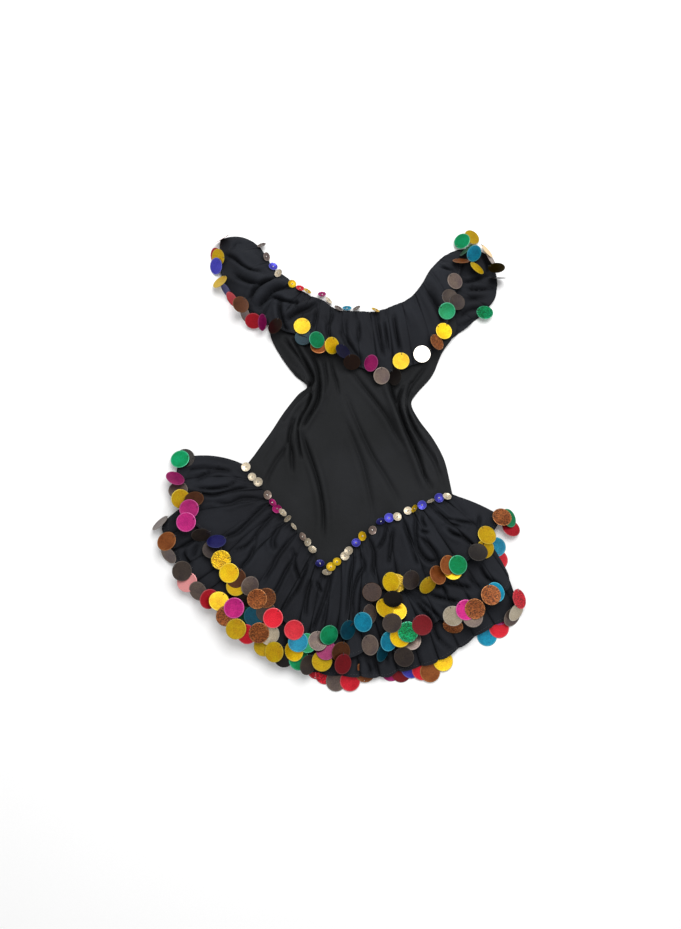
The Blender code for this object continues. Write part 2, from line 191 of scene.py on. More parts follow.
# The tilts, in degrees, and turns that a lying disc may take. A leaning one is eased in steps until
# its top is below the lean limit, and lies down where its top stays above the top limit.
LYING_TILTS = (0.0, 7.0, 14.0, 21.0)
LYING_TURNS = 8
EASINGS = 10
EASING = 0.9
LEAN_LIMIT = 40.0
TOP_LIMIT = 41.5

# Knit: the size of its stitches and how far the painted shade in its hollows reaches, in metres, the
# share of colour that a deep hollow keeps under that painted shade, and its darker and lighter dye as
# screen values
WALE = 0.0014
STITCH_ROW = 0.0011
PAINTED_SHADE_REACH = 0.022
PAINTED_HOLLOW_SHADE = 0.60
BODY_DYES = ((33, 34, 35), (38, 39, 41))
FLOUNCE_DYES = ((32, 33, 37), (37, 39, 44))

# Foil: the ring of painted highlight as a share of a disc's radius, the flecks in a metre, and the
# colour of milky film
RIM_AT = 0.955
FLECKS = 700.0
MILK = (214, 190, 186)

# Foil colours as screen values: the film, its pale ring of painted highlight, and its deeper patches
FOIL_COLOURS = {
    "yellow": ((252, 208, 10), (255, 232, 90), (236, 172, 6)),
    "red": ((232, 34, 54), (246, 120, 128), (206, 20, 40)),
    "green": ((6, 164, 104), (110, 214, 176), (2, 128, 62)),
    "blue": ((84, 82, 214), (150, 160, 244), (58, 52, 176)),
    "teal": ((16, 152, 188), (110, 206, 226), (6, 112, 146)),
    "magenta": ((212, 40, 132), (236, 118, 186), (172, 18, 112)),
    "copper": ((160, 90, 42), (206, 142, 88), (128, 62, 22)),
    "gray": ((136, 118, 106), (172, 158, 146), (104, 88, 92)),
    "pearl": ((236, 220, 192), (252, 246, 232), (214, 196, 166)),
}

# Stage: the room's light, and each lamp's name, power, size and place
FLOOR_SIZE = 8.0
FLOOR_DROP = -0.0005
ROOM_LIGHT = 0.62
LAMPS = (
    ("ceiling", 36.0, 1.4, (0.35, 0.75, 1.9)),
)

# Neckline and the two hems of its flounce, from the left shoulder to the right one.
# PUFF is how high the front flounce stands off the cloth below it, half way down.
NECK_COLUMNS = ("neck_x", "neck_y", "hem_x", "hem_y", "back_x", "back_y", "puff")
NECK_ROWS = (
    (-160, 420, -227, 428, -224, 424, 0),
    (-150, 412, -226, 388, -222, 384, 9),
    (-138, 393, -221, 353, -217, 350, 15),
    (-122, 367, -205, 315, -201, 317, 16),
    (-101, 353, -175, 286, -171, 290, 13),
    (-80, 333, -140, 262, -134, 268, 8),
    (-58, 317, -95, 243, -88, 250, 4),
    (-34, 308, -50, 228, -44, 232, 3),
    (-8, 290, -5, 202, -4, 208, 3),
    (28, 286, 35, 176, 34, 190, 3),
    (65, 286, 78, 166, 80, 186, 3),
    (98, 297, 118, 176, 130, 196, 4),
    (128, 312, 160, 196, 176, 216, 6),
    (150, 337, 190, 240, 240, 262, 11),
    (168, 368, 206, 297, 284, 308, 14),
    (188, 391, 219, 345, 292, 350, 11),
    (208, 404, 228, 385, 280, 396, 0),
)

# Both edges of the body panels, from the neckline down to the hip seam.
SIDE_COLUMNS = ("left_x", "left_y", "right_x", "right_y")
SIDE_ROWS = (
    (-122, 367, 168, 368),
    (-129, 290, 203, 295),
    (-130, 244, 213, 250),
    (-112, 205, 187, 208),
    (-84, 166, 168, 165),
    (-61, 145, 140, 132),
    (-78, 128, 129, 111),
    (-103, 95, 142, 82),
    (-125, 60, 168, 45),
    (-150, 24, 188, 3),
    (-169, -5, 199, -56),
)

# Hip seam with its point, and the hems of the skirt flounces, from the left side to the right one.
SKIRT_COLUMNS = ("seam_x", "seam_y", "upper_x", "upper_y", "lower_x", "lower_y", "back_x", "back_y")
SKIRT_ROWS = (
    (-169, -5, -285, 10, -309, -100, -305, -102),
    (-155, -25, -291, -24, -314, -114, -306, -119),
    (-140, -45, -265, -62, -308, -131, -301, -136),
    (-126, -63, -271, -94, -297, -152, -291, -157),
    (-100, -92, -221, -141, -272, -201, -260, -206),
    (-79, -120, -185, -210, -211, -246, -203, -246),
    (-54, -152, -132, -248, -161, -292, -146, -309),
    (-34, -184, -69, -295, -95, -336, -70, -355),
    (-25, -194, -32, -300, -44, -342, -27, -366),
    (-13, -182, 8, -292, -4, -342, 8, -370),
    (20, -152, 53, -246, 59, -322, 76, -371),
    (38, -133, 86, -216, 89, -311, 102, -362),
    (81, -101, 150, -214, 154, -282, 171, -343),
    (131, -79, 211, -181, 224, -259, 245, -296),
    (179, -61, 262, -129, 288, -222, 302, -260),
    (199, -56, 286, -95, 290, -188, 296, -206),
)

# Main folds of the front panel: the three points that bend its ridge, its height and half width.
BODY_FOLD_ROWS = (
    (-92, 236, -48, 172, -40, 132, 9.0, 9.0),
    (-40, 132, -62, 78, -92, 30, 8.0, 10.0),
    (-112, 232, -64, 170, -58, 140, 4.5, 7.0),
    (-58, 140, -92, 90, -120, 40, 4.5, 8.0),
    (-26, 172, -24, 128, -34, 92, 5.5, 8.0),
    (-50, 34, -30, -30, -22, -140, 4.5, 11.0),
    (-76, 70, -72, 20, -78, -30, 3.5, 9.0),
    (40, 168, 84, 92, 122, 4, 4.5, 13.0),
    (6, 116, 50, 0, 88, -80, 3.0, 13.0),
    (76, 170, 90, 110, 116, 40, 8.5, 10.0),
    (116, 40, 138, -8, 152, -46, 6.0, 10.0),
    (106, 160, 112, 112, 128, 82, 6.5, 8.0),
    (128, 82, 158, 34, 178, -14, 5.0, 9.0),
)

# Folds that run across the gathers of the front neck flounce, in the same columns.
NECK_FOLD_ROWS = (
    (-206, 404, -175, 396, -146, 378, 5.0, 10.0),
    (-213, 379, -187, 369, -146, 353, 6.0, 9.0),
    (-163, 300, -138, 328, -97, 353, 8.0, 7.0),
    (-104, 273, -80, 291, -49, 308, 7.0, 7.0),
    (117, 298, 143, 271, 156, 218, 7.0, 13.0),
    (176, 372, 190, 340, 204, 318, 5.0, 9.0),
)

# Gathers, left to right. A row is the trough before a gather, as a share of the way across at the
# seam and at the hem, and the height of the gather's ridge at the hem. The last row closes the last.
GATHER_COLUMNS = ("at_seam", "at_hem", "height")
UPPER_GATHER_ROWS = (
    (0.000, 0.000, 5), (0.055, 0.050, 8), (0.100, 0.092, 6), (0.135, 0.130, 5), (0.160, 0.217, 9),
    (0.200, 0.255, 8), (0.258, 0.305, 10), (0.321, 0.354, 7), (0.365, 0.392, 8), (0.412, 0.425, 9),
    (0.450, 0.475, 6), (0.495, 0.500, 9), (0.555, 0.528, 7), (0.605, 0.555, 9), (0.655, 0.583, 8),
    (0.690, 0.615, 11), (0.722, 0.683, 9), (0.780, 0.722, 12), (0.822, 0.785, 8), (0.855, 0.822, 9),
    (0.880, 0.862, 12), (0.910, 0.912, 9), (0.950, 0.945, 7), (1.000, 1.000, 0),
)
LOWER_GATHER_ROWS = (
    (0.00, 0.000, 5), (0.04, 0.045, 8), (0.08, 0.080, 6), (0.12, 0.122, 9), (0.16, 0.170, 7),
    (0.20, 0.205, 9), (0.25, 0.250, 6), (0.30, 0.295, 10), (0.34, 0.335, 7), (0.38, 0.380, 9),
    (0.42, 0.425, 8), (0.46, 0.460, 10), (0.51, 0.500, 9), (0.55, 0.555, 11), (0.60, 0.610, 8),
    (0.64, 0.650, 10), (0.69, 0.700, 11), (0.73, 0.745, 7), (0.78, 0.785, 8), (0.82, 0.830, 6),
    (0.86, 0.870, 8), (0.90, 0.905, 6), (0.94, 0.940, 8), (0.97, 0.975, 5), (1.00, 1.000, 0),
)
BACK_GATHER_ROWS = (
    (0.00, 0.00, 3), (0.06, 0.05, 4), (0.12, 0.11, 3), (0.17, 0.17, 5), (0.23, 0.23, 3),
    (0.29, 0.29, 5), (0.34, 0.35, 4), (0.39, 0.39, 6), (0.44, 0.44, 5), (0.48, 0.48, 7),
    (0.53, 0.53, 6), (0.57, 0.57, 8), (0.62, 0.61, 6), (0.66, 0.65, 9), (0.70, 0.70, 7),
    (0.75, 0.74, 8), (0.79, 0.79, 6), (0.84, 0.83, 8), (0.88, 0.88, 5), (0.94, 0.94, 4),
    (1.00, 1.00, 0),
)
NECK_GATHER_ROWS = (
    (0.000, 0.000, 2), (0.060, 0.070, 2), (0.120, 0.130, 1), (0.180, 0.200, 3), (0.240, 0.260, 4),
    (0.300, 0.310, 5), (0.350, 0.360, 4), (0.400, 0.410, 6), (0.450, 0.455, 5), (0.495, 0.500, 4),
    (0.540, 0.545, 6), (0.585, 0.590, 4), (0.635, 0.630, 7), (0.690, 0.680, 3), (0.750, 0.740, 2),
    (0.810, 0.800, 3), (0.870, 0.870, 3), (0.930, 0.940, 2), (1.000, 1.000, 0),
)
NECK_BACK_GATHER_ROWS = (
    (0.00, 0.00, 0), (0.10, 0.10, 0), (0.20, 0.20, 0), (0.30, 0.30, 0), (0.40, 0.40, 0),
    (0.50, 0.50, 0), (0.58, 0.58, 1), (0.64, 0.64, 2), (0.70, 0.70, 3), (0.76, 0.76, 4),
    (0.81, 0.81, 3), (0.86, 0.86, 4), (0.91, 0.91, 3), (0.96, 0.96, 2), (1.00, 1.00, 0),
)

# How a flounce's gathers start at the seam, open towards the hem, push the hem out and bow its ends
UPPER_AT_SEAM = 0.30
NECK_AT_SEAM = 0.45
HIDDEN_AT_SEAM = 0.0
OPENING = 1.3
LATE_OPENING = 2.6
LAST_OPENING = 4.0
SCALLOP = 0.34
NECK_BOW = (12.0, 12.0)
UPPER_BOW = (12.0, 4.0)
LOWER_BOW = (4.0, 7.0)
BOW_SHARE = 0.12
FOLD_END = 0.35
PUFF_REACH = 0.92

# Listed creases: depth, half width, and the points of the trough's line
BODY_CREASES = (
    (8.5, 3.6, ((-86, 230), (-71, 201), (-57, 176), (-50, 157), (-54, 141), (-70, 124), (-87, 107),
                (-103, 82))),
    (4.5, 3.2, ((-102, 233), (-80, 201), (-62, 173), (-54, 154))),
    (7.0, 3.4, ((-50, 195), (-43, 173), (-39, 141), (-43, 113), (-58, 85), (-70, 64))),
    (4.5, 4.0, ((-70, 55), (-61, 30), (-48, -6), (-39, -36), (-33, -66), (-30, -96), (-30, -128))),
    (4.5, 3.5, ((-85, 79), (-91, 52), (-88, 21), (-86, -12))),
    (3.0, 4.0, ((-89, 61), (-99, 30), (-117, 3), (-129, -21), (-133, -36))),
    (1.6, 4.0, ((-115, 49), (-129, 30), (-144, 9))),
    (2.2, 3.0, ((-31, 195), (-27, 170), (-25, 148), (-27, 129))),
    (2.2, 3.0, ((-18, 195), (-13, 170), (-7, 151), (-4, 129))),
    (3.0, 4.0, ((19, 174), (38, 148), (65, 113), (86, 82), (99, 55), (113, 30))),
    (2.4, 4.5, ((11, 123), (26, 85), (41, 49), (59, 12), (79, -21), (97, -54), (105, -72))),
    (2.0, 4.5, ((11, 73), (26, 36), (38, 3), (49, -42), (55, -72), (59, -99))),
    (8.5, 3.8, ((88, 148), (97, 116), (109, 82), (125, 43), (139, 9), (149, -21), (161, -42))),
    (6.5, 3.5, ((114, 141), (106, 120), (106, 98), (115, 70))),
    (6.5, 3.5, ((129, 148), (121, 126), (120, 98), (131, 67), (149, 36), (166, 6), (177, -18),
                (183, -39))),
    (2.5, 3.0, ((149, 49), (166, 18), (175, -6))),
    (3.0, 4.0, ((157, 182), (142, 163), (126, 141))),
    (5.0, 2.6, ((-66, 150), (-57, 143), (-53, 128), (-57, 110), (-68, 88), (-76, 70))),
    (4.0, 2.6, ((-94, 178), (-78, 162), (-66, 150), (-60, 138))),
    (4.0, 2.6, ((-70, 92), (-77, 62), (-75, 34), (-70, 10))),
    (4.0, 2.6, ((130, 128), (127, 112), (133, 92), (146, 66))),
)
NECK_CREASES = (
    (6.0, 3.5, ((-167, 306), (-158, 324), (-142, 337), (-122, 349))),
    (6.0, 4.0, ((-152, 291), (-134, 312), (-114, 326), (-90, 333))),
    (5.0, 4.0, ((-198, 355), (-177, 343), (-153, 337), (-131, 343))),
    (6.0, 4.0, ((-110, 306), (-112, 287), (-106, 258), (-97, 246))),
    (6.0, 3.8, ((-100, 264), (-82, 279), (-58, 289), (-42, 304))),
    (4.5, 3.5, ((-145, 300), (-123, 308), (-101, 302), (-75, 298))),
    (6.0, 6.0, ((160, 326), (171, 304), (183, 275), (187, 254))),
    (5.0, 3.5, ((65, 277), (71, 239), (78, 199))),
    (5.0, 3.5, ((98, 275), (102, 241), (109, 206))),
    (3.5, 4.0, ((1, 264), (6, 233), (16, 209))),
    (3.5, 3.5, ((-27, 271), (-23, 241), (-15, 220))),
    (3.5, 3.5, ((185, 369), (197, 365), (209, 360))),
    (4.5, 3.5, ((-215, 395), (-199, 387), (-183, 372), (-165, 362), (-143, 361))),
    (2.5, 3.0, ((-203, 410), (-195, 421), (-186, 420))),
    (3.0, 3.0, ((-137, 265), (-135, 252), (-129, 243))),
    (3.0, 3.0, ((-82, 307), (-81, 294), (-87, 281))),
    (3.5, 3.0, ((-14, 283), (-18, 265), (-25, 246))),
    (3.5, 3.5, ((8, 275), (10, 252), (13, 230), (14, 218))),
    (5.5, 4.5, ((1, 240), (16, 219), (26, 203), (35, 192))),
    (3.0, 3.0, ((80, 268), (84, 235), (88, 205))),
    (3.0, 3.0, ((-44, 294), (-47, 268), (-53, 249))),
    (2.5, 3.0, ((33, 268), (34, 249), (33, 227))),
)
NECK_BACK_CREASES = (
    (5.0, 3.5, ((226, 347), (240, 345), (259, 353), (274, 359))),
    (4.5, 3.5, ((236, 331), (258, 329), (280, 333))),
    (3.0, 3.5, ((228, 310), (246, 312), (272, 314))),
    (4.0, 3.5, ((221, 278), (234, 289), (252, 293), (266, 296))),
    (3.0, 3.0, ((215, 259), (227, 263), (243, 270), (258, 278))),
    (4.0, 3.5, ((268, 395), (276, 378), (272, 358))),
)
UPPER_CREASES = (
    (3.5, 3.5, ((-278, -14), (-258, -8), (-230, -8), (-202, -14))),
    (4.0, 3.5, ((-256, -29), (-237, -18), (-217, -12), (-196, -14))),
    (4.5, 3.5, ((-259, -46), (-231, -46), (-211, -44), (-196, -40), (-188, -33))),
    (4.5, 3.0, ((-274, -54), (-254, -54), (-226, -58), (-196, -50), (-170, -44))),
    (3.5, 3.5, ((-142, -64), (-173, -63), (-195, -72), (-218, -73))),
    (6.0, 4.0, ((-130, -75), (-159, -102), (-182, -124), (-206, -133))),
    (4.0, 3.5, ((-117, -89), (-142, -119), (-164, -146), (-188, -157))),
    (6.0, 4.0, ((-108, -114), (-119, -137), (-117, -151))),
    (4.5, 3.5, ((-80, -128), (-106, -160), (-118, -184), (-135, -212))),
    (3.5, 3.5, ((-147, -135), (-153, -152), (-160, -170), (-173, -184))),
    (3.5, 3.0, ((-83, -155), (-79, -184), (-70, -210))),
    (4.0, 3.0, ((-77, -163), (-92, -184), (-111, -224), (-119, -235))),
    (3.5, 3.0, ((-59, -175), (-62, -194), (-76, -224), (-99, -255))),
    (4.0, 3.2, ((-53, -210), (-59, -238), (-61, -267))),
    (3.0, 2.6, ((-41, -210), (-33, -229))),
    (5.0, 3.5, ((-18, -201), (-27, -235), (-41, -275), (-50, -295))),
    (3.5, 3.0, ((-22, -238), (-27, -267), (-32, -284))),
    (4.5, 3.2, ((24, -170), (18, -194), (14, -231), (11, -270))),
    (4.5, 3.2, ((36, -164), (41, -184), (29, -204), (21, -239), (23, -282))),
    (4.0, 3.2, ((52, -139), (59, -161), (57, -189), (61, -204))),
    (3.5, 3.0, ((80, -114), (76, -135), (64, -155))),
    (4.0, 3.2, ((92, -119), (88, -149), (84, -179))),
    (5.0, 3.5, ((112, -107), (120, -132), (127, -155), (134, -179))),
    (5.5, 3.8, ((133, -96), (132, -126), (137, -155), (154, -174), (169, -174))),
    (3.5, 3.0, ((144, -92), (145, -105), (151, -116))),
    (3.0, 3.0, ((140, -122), (155, -124))),
    (4.0, 3.5, ((139, -132), (154, -145), (166, -160), (173, -175))),
    (4.5, 3.5, ((163, -82), (178, -95), (195, -109), (215, -113))),
    (3.5, 3.0, ((190, -99), (205, -103), (228, -107), (235, -110))),
    (4.5, 3.5, ((185, -112), (197, -125), (215, -133), (229, -145))),
    (3.5, 3.5, ((246, -94), (243, -115))),
)
LOWER_CREASES = (
    (4.5, 3.5, ((-252, -132), (-264, -141), (-280, -149))),
    (3.5, 3.5, ((-247, -137), (-254, -152), (-258, -169))),
    (3.0, 3.0, ((-301, -91), (-293, -102), (-298, -112))),
    (3.5, 3.0, ((-274, -154), (-271, -169), (-258, -182))),
    (5.0, 4.0, ((171, -211), (193, -213), (213, -218), (233, -222))),
    (3.5, 3.0, ((168, -214), (180, -221), (183, -235))),
    (3.5, 3.5, ((224, -194), (231, -211), (244, -220))),
    (4.5, 3.5, ((244, -179), (251, -197), (263, -209), (275, -214))),
    (6.0, 5.0, ((279, -226), (289, -242), (300, -254))),
    (5.5, 3.4, ((115, -224), (130, -241), (141, -257), (154, -270), (159, -285), (159, -297), (166, -313),
                (179, -323), (193, -324))),
    (4.5, 3.2, ((104, -243), (106, -264), (108, -282))),
    (4.0, 3.0, ((128, -228), (144, -246), (160, -260), (173, -276), (177, -294))),
    (5.0, 3.6, ((152, -228), (166, -235), (187, -241), (207, -245))),
    (5.0, 3.4, ((150, -306), (152, -324), (156, -339))),
    (4.5, 3.2, ((184, -298), (192, -309), (196, -318))),
    (4.5, 3.2, ((213, -283), (215, -294), (221, -303))),
    (4.0, 3.2, ((198, -262), (210, -273), (225, -281))),
    (5.0, 3.4, ((120, -313), (126, -330), (132, -345))),
    (4.5, 3.5, ((7, -294), (7, -314), (5, -335))),
    (4.5, 3.4, ((247, -262), (253, -275), (250, -287))),
)
BACK_CREASES = (
    (3.5, 3.5, ((159, -277), (169, -306), (193, -327))),
    (3.5, 3.0, ((45, -343), (51, -357), (49, -369))),
    (3.5, 3.0, ((58, -345), (63, -362))),
    (3.5, 3.0, ((78, -329), (81, -352))),
    (3.5, 3.0, ((32, -345), (29, -364))),
    (3.5, 3.0, ((2, -326), (4, -345))),
)


# Curves, ramps and lines on the plan


def columns_of(names, rows, *wanted):
    """Picks named columns of a table as an array, a line for each row."""
    places = [names.index(name) for name in wanted]
    return np.array([[row[place] for place in places] for row in rows], float)


def placed(x, y, z):
    """Points of the plan, in the frame's metres."""
    return np.stack((x - ORIGIN[0], y - ORIGIN[1], z), axis=-1) * MM


def in_scene(name, data):
    """New object for a mesh, lamp or camera, linked to the scene."""
    piece = bpy.data.objects.new(name, data)
    bpy.context.scene.collection.objects.link(piece)
    return piece


def give_uvs(mesh, name, values):
    """UVs of a mesh from two values for each of its vertices."""
    corners = np.zeros(len(mesh.loops), np.int32)
    mesh.loops.foreach_get("vertex_index", corners)
    mesh.uv_layers.new(name=name).data.foreach_set("uv", values[corners].ravel())


def ramp(value, low, high):
    """Smooth step from 0 at low to 1 at high."""
    t = np.clip((value - low) / (high - low), 0.0, 1.0)
    return t * t * (3 - 2 * t)


class Curve:
    """Smooth curve through the rows of a table."""

    def __init__(self, points):
        self.points = np.asarray(points, float)
        self.steps = np.linspace(0.0, 1.0, 401)
        runs = np.linalg.norm(np.diff(self.at(self.steps), axis=0), axis=1)
        self.lengths = np.concatenate(([0.0], np.cumsum(runs)))

    def at(self, share):
        """Points at shares of the rows, from 0 at the first to 1 at the last."""
        last = len(self.points) - 1
        place = np.clip(np.asarray(share, float), 0.0, 1.0) * last
        start = np.minimum(place.astype(int), last - 1)
        t = (place - start)[..., None]
        before = self.points[np.maximum(start - 1, 0)]
        a = self.points[start]
        b = self.points[start + 1]
        after = self.points[np.minimum(start + 2, last)]
        bend = 2 * before - 5 * a + 4 * b - after
        twist = 3 * a - before - 3 * b + after
        return 0.5 * (2 * a + (b - before) * t + bend * t * t + twist * t ** 3)

    def even(self, share):
        """Shares of the rows at shares of the curve's length."""
        return np.interp(np.asarray(share) * self.lengths[-1], self.lengths, self.steps)

    def nearest(self, x, y):
        """The curve's point that is nearest to a place."""
        points = self.at(self.steps)
        return points[np.argmin(np.hypot(points[:, 0] - x, points[:, 1] - y))]


def swell(u, v, across, down, seed):
    """Smooth uneven field between -1 and 1, with that many swells across and down."""
    values = np.random.default_rng(seed).uniform(-1.0, 1.0, (across + 2, down + 2))
    x = np.clip(u, 0.0, 1.0) * across
    y = np.clip(v, 0.0, 1.0) * down
    i = x.astype(int)
    j = y.astype(int)
    tx = ramp(x - i, 0.0, 1.0)
    ty = ramp(y - j, 0.0, 1.0)
    near = values[i, j] * (1 - tx) + values[i + 1, j] * tx
    far = values[i, j + 1] * (1 - tx) + values[i + 1, j + 1] * tx
    return near * (1 - ty) + far * ty


def near_line(x, y, points):
    """Distance from a line of points, the share of the line where it is nearest, and the way there."""
    runs = np.linalg.norm(np.diff(points, axis=0), axis=1)
    starts = np.concatenate(([0.0], np.cumsum(runs)))
    gap = np.full(x.shape, np.inf)
    where = np.zeros(x.shape)
    way_x = np.zeros(x.shape)
    way_y = np.zeros(x.shape)
    for a, b, start, run in zip(points, points[1:], starts, runs):
        along = ((x - a[0]) * (b[0] - a[0]) + (y - a[1]) * (b[1] - a[1])) / run ** 2
        t = np.clip(along, 0.0, 1.0)
        to_x = a[0] + t * (b[0] - a[0]) - x
        to_y = a[1] + t * (b[1] - a[1]) - y
        closer = np.hypot(to_x, to_y) < gap
        gap = np.where(closer, np.hypot(to_x, to_y), gap)
        where = np.where(closer, (start + t * run) / starts[-1], where)
        way_x = np.where(closer, to_x, way_x)
        way_y = np.where(closer, to_y, way_y)
    return gap, where, way_x, way_y


def folds_at(x, y, folds):
    """Height of the rounded folds at each point, highest at the middle of each ridge line."""
    total = np.zeros(x.shape)
    steps = np.linspace(0.0, 1.0, 13)[:, None]
    for x1, y1, x2, y2, x3, y3, height, width in folds:
        first, middle, last = np.array([(x1, y1), (x2, y2), (x3, y3)], float)
        line = (1 - steps) ** 2 * first + 2 * steps * (1 - steps) * middle + steps ** 2 * last
        gap, where, _, _ = near_line(x, y, line)
        fade = FOLD_END + (1 - FOLD_END) * np.sin(np.pi * where) ** 0.5
        total += height * fade * np.exp(-(gap / width) ** 2)
    return total


def creases_at(x, y, creases):
    """Creases: a narrow trough between two soft ridges, drawn in from both sides. Gives the height
    and the shift of each point."""
    height = np.zeros(x.shape)
    shift_x = np.zeros(x.shape)
    shift_y = np.zeros(x.shape)
    steps = np.linspace(0.0, 1.0, 25)
    for depth, width, points in creases:
        gap, where, way_x, way_y = near_line(x, y, Curve(points).at(steps))
        fade = np.sin(np.pi * np.clip(where, 0.02, 0.98)) ** CREASE_FADE
        trough = np.exp(-(gap / width) ** 2)
        ridges = np.exp(-((gap - CREASE_RIDGE_AT * width) / (CREASE_RIDGE_WIDTH * width)) ** 2)
        height += CREASE_DEPTH * depth * fade * (CREASE_RIDGE * ridges - trough)
        near = np.exp(-(gap / (CREASE_PINCH_WIDTH * width)) ** 2)
        drawn = CREASE_PINCH * fade * near * min(depth / CREASE_PINCH_DEPTH, 1.0)
        shift_x += drawn * way_x
        shift_y += drawn * way_y
    return height, shift_x, shift_y


class Gathers:
    """The gathers of one flounce, counted along it from 0 to 1."""

    def __init__(self, rows, seed):
        self.count = len(rows) - 1
        self.seed = seed
        self.places = np.linspace(0.0, 1.0, len(rows))
        self.at_seam = columns_of(GATHER_COLUMNS, rows, "at_seam").ravel()
        self.at_hem = columns_of(GATHER_COLUMNS, rows, "at_hem").ravel()
        self.heights = columns_of(GATHER_COLUMNS, rows, "height").ravel()
        self.leans = np.random.default_rng(seed).uniform(-LEAN, LEAN, len(rows))

    def share(self, u, v):
        """Share of the way across for a count of gathers, at a share of the way down."""
        seam = np.interp(u, self.places, self.at_seam)
        hem = np.interp(u, self.places, self.at_hem)
        return seam + (hem - seam) * v

    def gather_at(self, u):
        """Which gather a count is in, and how far through it."""
        place = np.clip(u, 0.0, 1.0) * self.count
        index = np.minimum(place.astype(int), self.count - 1)
        return index, place - index

    def drawn(self, u, v):
        """The count on the plan: narrow at the troughs and wide on the ridges, each trough leaning
        to one side."""
        index, through = self.gather_at(u)
        lean = self.leans[index]
        narrowing = GATHER_PINCH / math.tau
        moved = through - narrowing * (np.sin(math.tau * through + lean) - np.sin(lean))
        return (index + moved) / self.count

    def wave(self, u):
        """Height of the gather at a count, and its wave from 0 in a trough to 1 on the ridge."""
        index, through = self.gather_at(u)
        return self.heights[index], 0.5 - 0.5 * np.cos(math.tau * through)

    def lift(self, u, v, at_seam, opening=OPENING):
        """Round ridges with narrow troughs, small at the seam and open at the hem, whose tops
        rise and fall and split into smaller folds."""
        index, through = self.gather_at(u)
        height = self.heights[index] * (1 + RIDGE_UNEVEN * swell(u, v, 2 * self.count, 3, self.seed))
        round_ridge = np.sin(np.pi * through) ** RIDGE_POWER
        turned = 3 * math.tau * through + self.leans[index] * SPLIT_TURN
        split = np.sin(np.pi * through) * np.cos(turned)
        uneven = swell(u, v, self.count, 4, self.seed + 1)
        opened = at_seam + (1 - at_seam) * v ** opening
        return height * opened * (round_ridge + SPLIT * split * uneven)

    def pleats(self, u, v, depth, fade):
        """Fine pleats where the cloth is drawn into the seam, uneven in length."""
        through = u * self.count * PLEATS_PER_GATHER + swell(u, v, self.count, 2, self.seed + 2)
        reach = fade * (1 + PLEAT_UNEVEN * swell(u, 0 * v, 3 * self.count, 1, self.seed + 3))
        return depth * np.abs(np.sin(np.pi * through)) * np.exp(-(v / reach) ** 1.5)


# The sheets, each laid on what is below it


def spread(field, reach, combine):
    """Runs a window of that reach over a field in both directions."""
    for axis in (0, 1):
        padded = np.pad(field, [(reach, reach) if axis == k else (0, 0) for k in (0, 1)], mode="edge")
        size = field.shape[axis]
        field = combine([np.take(padded, range(i, i + size), axis) for i in range(2 * reach + 1)])
    return field


class Lay:
    """The sheets laid so far, which the next ones rest on."""

    def __init__(self):
        self.vertices = []
        self.faces = []
        self.tree = None

    def add(self, vertices, faces):
        start = len(self.vertices)
        self.vertices.extend(vertices)
        self.faces.extend([tuple(corner + start for corner in face) for face in faces])
        self.tree = BVHTree.FromPolygons(self.vertices, self.faces)

    def top(self, x, y):
        """Height of the highest cloth at a point of the plan, or the floor's 0."""
        if self.tree is None:
            return 0.0
        hit = self.tree.ray_cast(Vector((x, y, ABOVE)), DOWN)[0]
        return 0.0 if hit is None else hit.z

    def rest(self, x, y, reach):
        """Height that clears the cloth below a grid of points and bridges its narrow dips."""
        tops = np.array([self.top(*point) for point in zip(x.ravel(), y.ravel())])
        raw = np.where(tops > 0.0, tops + LAYER_GAP, 0.0).reshape(x.shape)
        highest = spread(raw, reach, lambda views: np.max(views, axis=0))
        return np.maximum(spread(highest, reach, lambda views: np.mean(views, axis=0)), raw)


def down_steps(rows):
    """Shares of the way down, closer together near the hem where its edge is rolled."""
    body = np.linspace(0.0, HEM_SHARE, rows - HEM_ROWS + 1)
    hem = np.linspace(HEM_SHARE, 1.0, HEM_ROWS + 1)
    return np.concatenate((body, hem[1:]))


def sheet_mesh(name, x, y, under, thick, lay):
    """Closed thin shell over a grid of points, with its cloth's own measure as UVs in metres."""
    top = under + thick
    across, down = x.shape
    upper = placed(x, y, top)
    lower = placed(x, y, under)
    vertices = np.concatenate((upper.reshape(-1, 3), lower.reshape(-1, 3)))
    index = np.arange(across * down).reshape(across, down)
    a, b, c, d = index[:-1, :-1], index[1:, :-1], index[1:, 1:], index[:-1, 1:]
    tops = np.stack((a, d, c, b), axis=-1).reshape(-1, 4)
    unders = np.stack((a, b, c, d), axis=-1).reshape(-1, 4) + across * down
    rim = np.concatenate((index[:, 0], index[-1, 1:], index[-2::-1, -1], index[0, -2:0:-1]))
    after = np.roll(rim, -1)
    edges = np.stack((rim, after, after + across * down, rim + across * down), axis=-1)
    mesh = bpy.data.meshes.new(name)
    mesh.from_pydata(vertices.tolist(), [], np.concatenate((tops, unders, edges)).tolist())
    runs_across = np.linalg.norm(np.diff(upper, axis=0), axis=2).mean(axis=1)
    runs_down = np.linalg.norm(np.diff(upper, axis=1), axis=2).mean(axis=0)
    along = np.concatenate(([0.0], np.cumsum(runs_across)))
    below = np.concatenate(([0.0], np.cumsum(runs_down)))
    measure = np.stack(np.meshgrid(along, below, indexing="ij"), axis=-1).reshape(-1, 2)
    give_uvs(mesh, "cloth", np.concatenate((measure, measure)))
    mesh.shade_smooth()
    mesh.set_sharp_from_angle(angle=CLOTH_SHARP)
    points = np.stack((x, y, top), axis=-1).reshape(-1, 3)
    lay.add([Vector(p) for p in points], tops.tolist())
    return in_scene(name, mesh)


